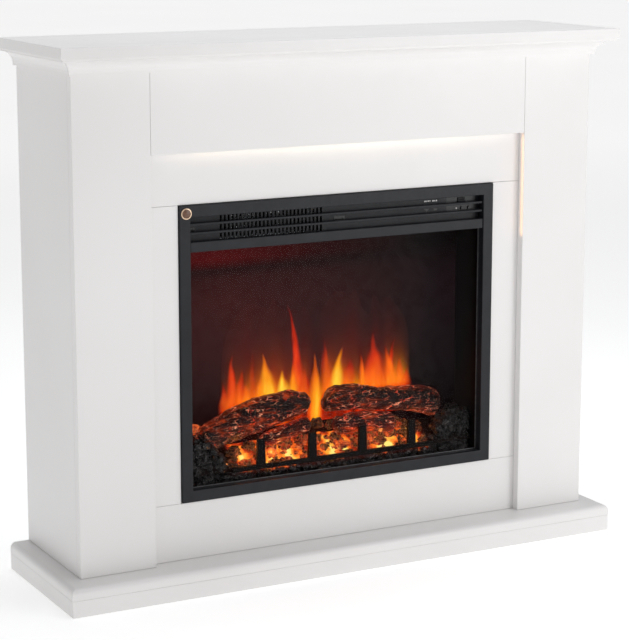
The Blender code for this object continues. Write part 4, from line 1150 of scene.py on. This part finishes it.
def dress_nodes():
    """Gives every CAD node its finish. What isn't named here is painted board."""
    white = painted_board()
    groups = (
        (powder_coat(), ("trim_frame", "trim_crossbar", "upper_louvre", "lower_louvre", "slotted_grille")),
        (zinc_sheet(), ("casing_left", "casing_right", "casing_top", "casing_bottom", "casing_back",
                        "heater_deck", "left_wall_bracket", "right_wall_bracket", "rotor_motor",
                        "blower_housing", "blower_motor")),
        (matt_liner(), ("left_liner", "right_liner")),
        (moulded_plastic(), ("control_panel", "power_switch", "heat_button", "flame_button", "cord_gland",
                             "rotor_bush")),
        (bright_aluminium(), ("light_channel", "flame_rotor", "blower_wheel")),
        (enamel("dark_fins", (0.004, 0.004, 0.004), (0.009, 0.009, 0.009), 0.6), ("heating_element",)),
        (window_glass(), ("front_glass",)),
        (flame_screen(), ("flame_screen",)),
        (clear_lens(), ("receiver_lens",)),
        (lit_diffuser(LIGHT_HIGH.x), ("light_diffuser",)),
        (circuit_board(), ("flame_led_board",)),
    )
    finishes = {name: material for material, names in groups for name in names}
    for name, node in NODES.items():
        node.data.materials.clear()
        node.data.materials.append(finishes.get(name, white))


def make_fire():
    make_logs(bark())
    make_coals(black_coal())
    make_hot_slope(hot_bed())
    embers = ember_lump()
    make_clinkers(embers)
    make_stub(embers)
    make_grate(cast_iron())
    make_flames(flame_glow())


def make_fittings():
    make_badge(enamel("badge_gilt", (0.62, 0.42, 0.28), (0.86, 0.66, 0.48), 0.3, 0.6),
               enamel("badge_brown", (0.10, 0.045, 0.025), (0.17, 0.080, 0.045), 0.35))
    make_dashes(enamel("print_white", (0.72, 0.71, 0.70), (0.86, 0.85, 0.84), 0.5))
    gloss = enamel("gloss_black", (0.004, 0.004, 0.005), (0.010, 0.010, 0.012), 0.2)
    button_low, button_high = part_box("heat_button")
    middle = (button_low.z + button_high.z) / 2
    make_arrows(gloss, middle)
    make_latches(gloss, middle)
    make_screws(enamel("screw_zinc", (0.10, 0.10, 0.09), (0.20, 0.19, 0.17), 0.32, 1.0))
    make_glass_bead(enamel("bead_steel", (0.16, 0.16, 0.17), (0.30, 0.30, 0.31), 0.35, 0.7))


def main():
    make_camera()
    make_studio()
    make_floor()
    dress_nodes()
    make_fire()
    make_fittings()
    make_fire_lights()
    make_downlight()


main()
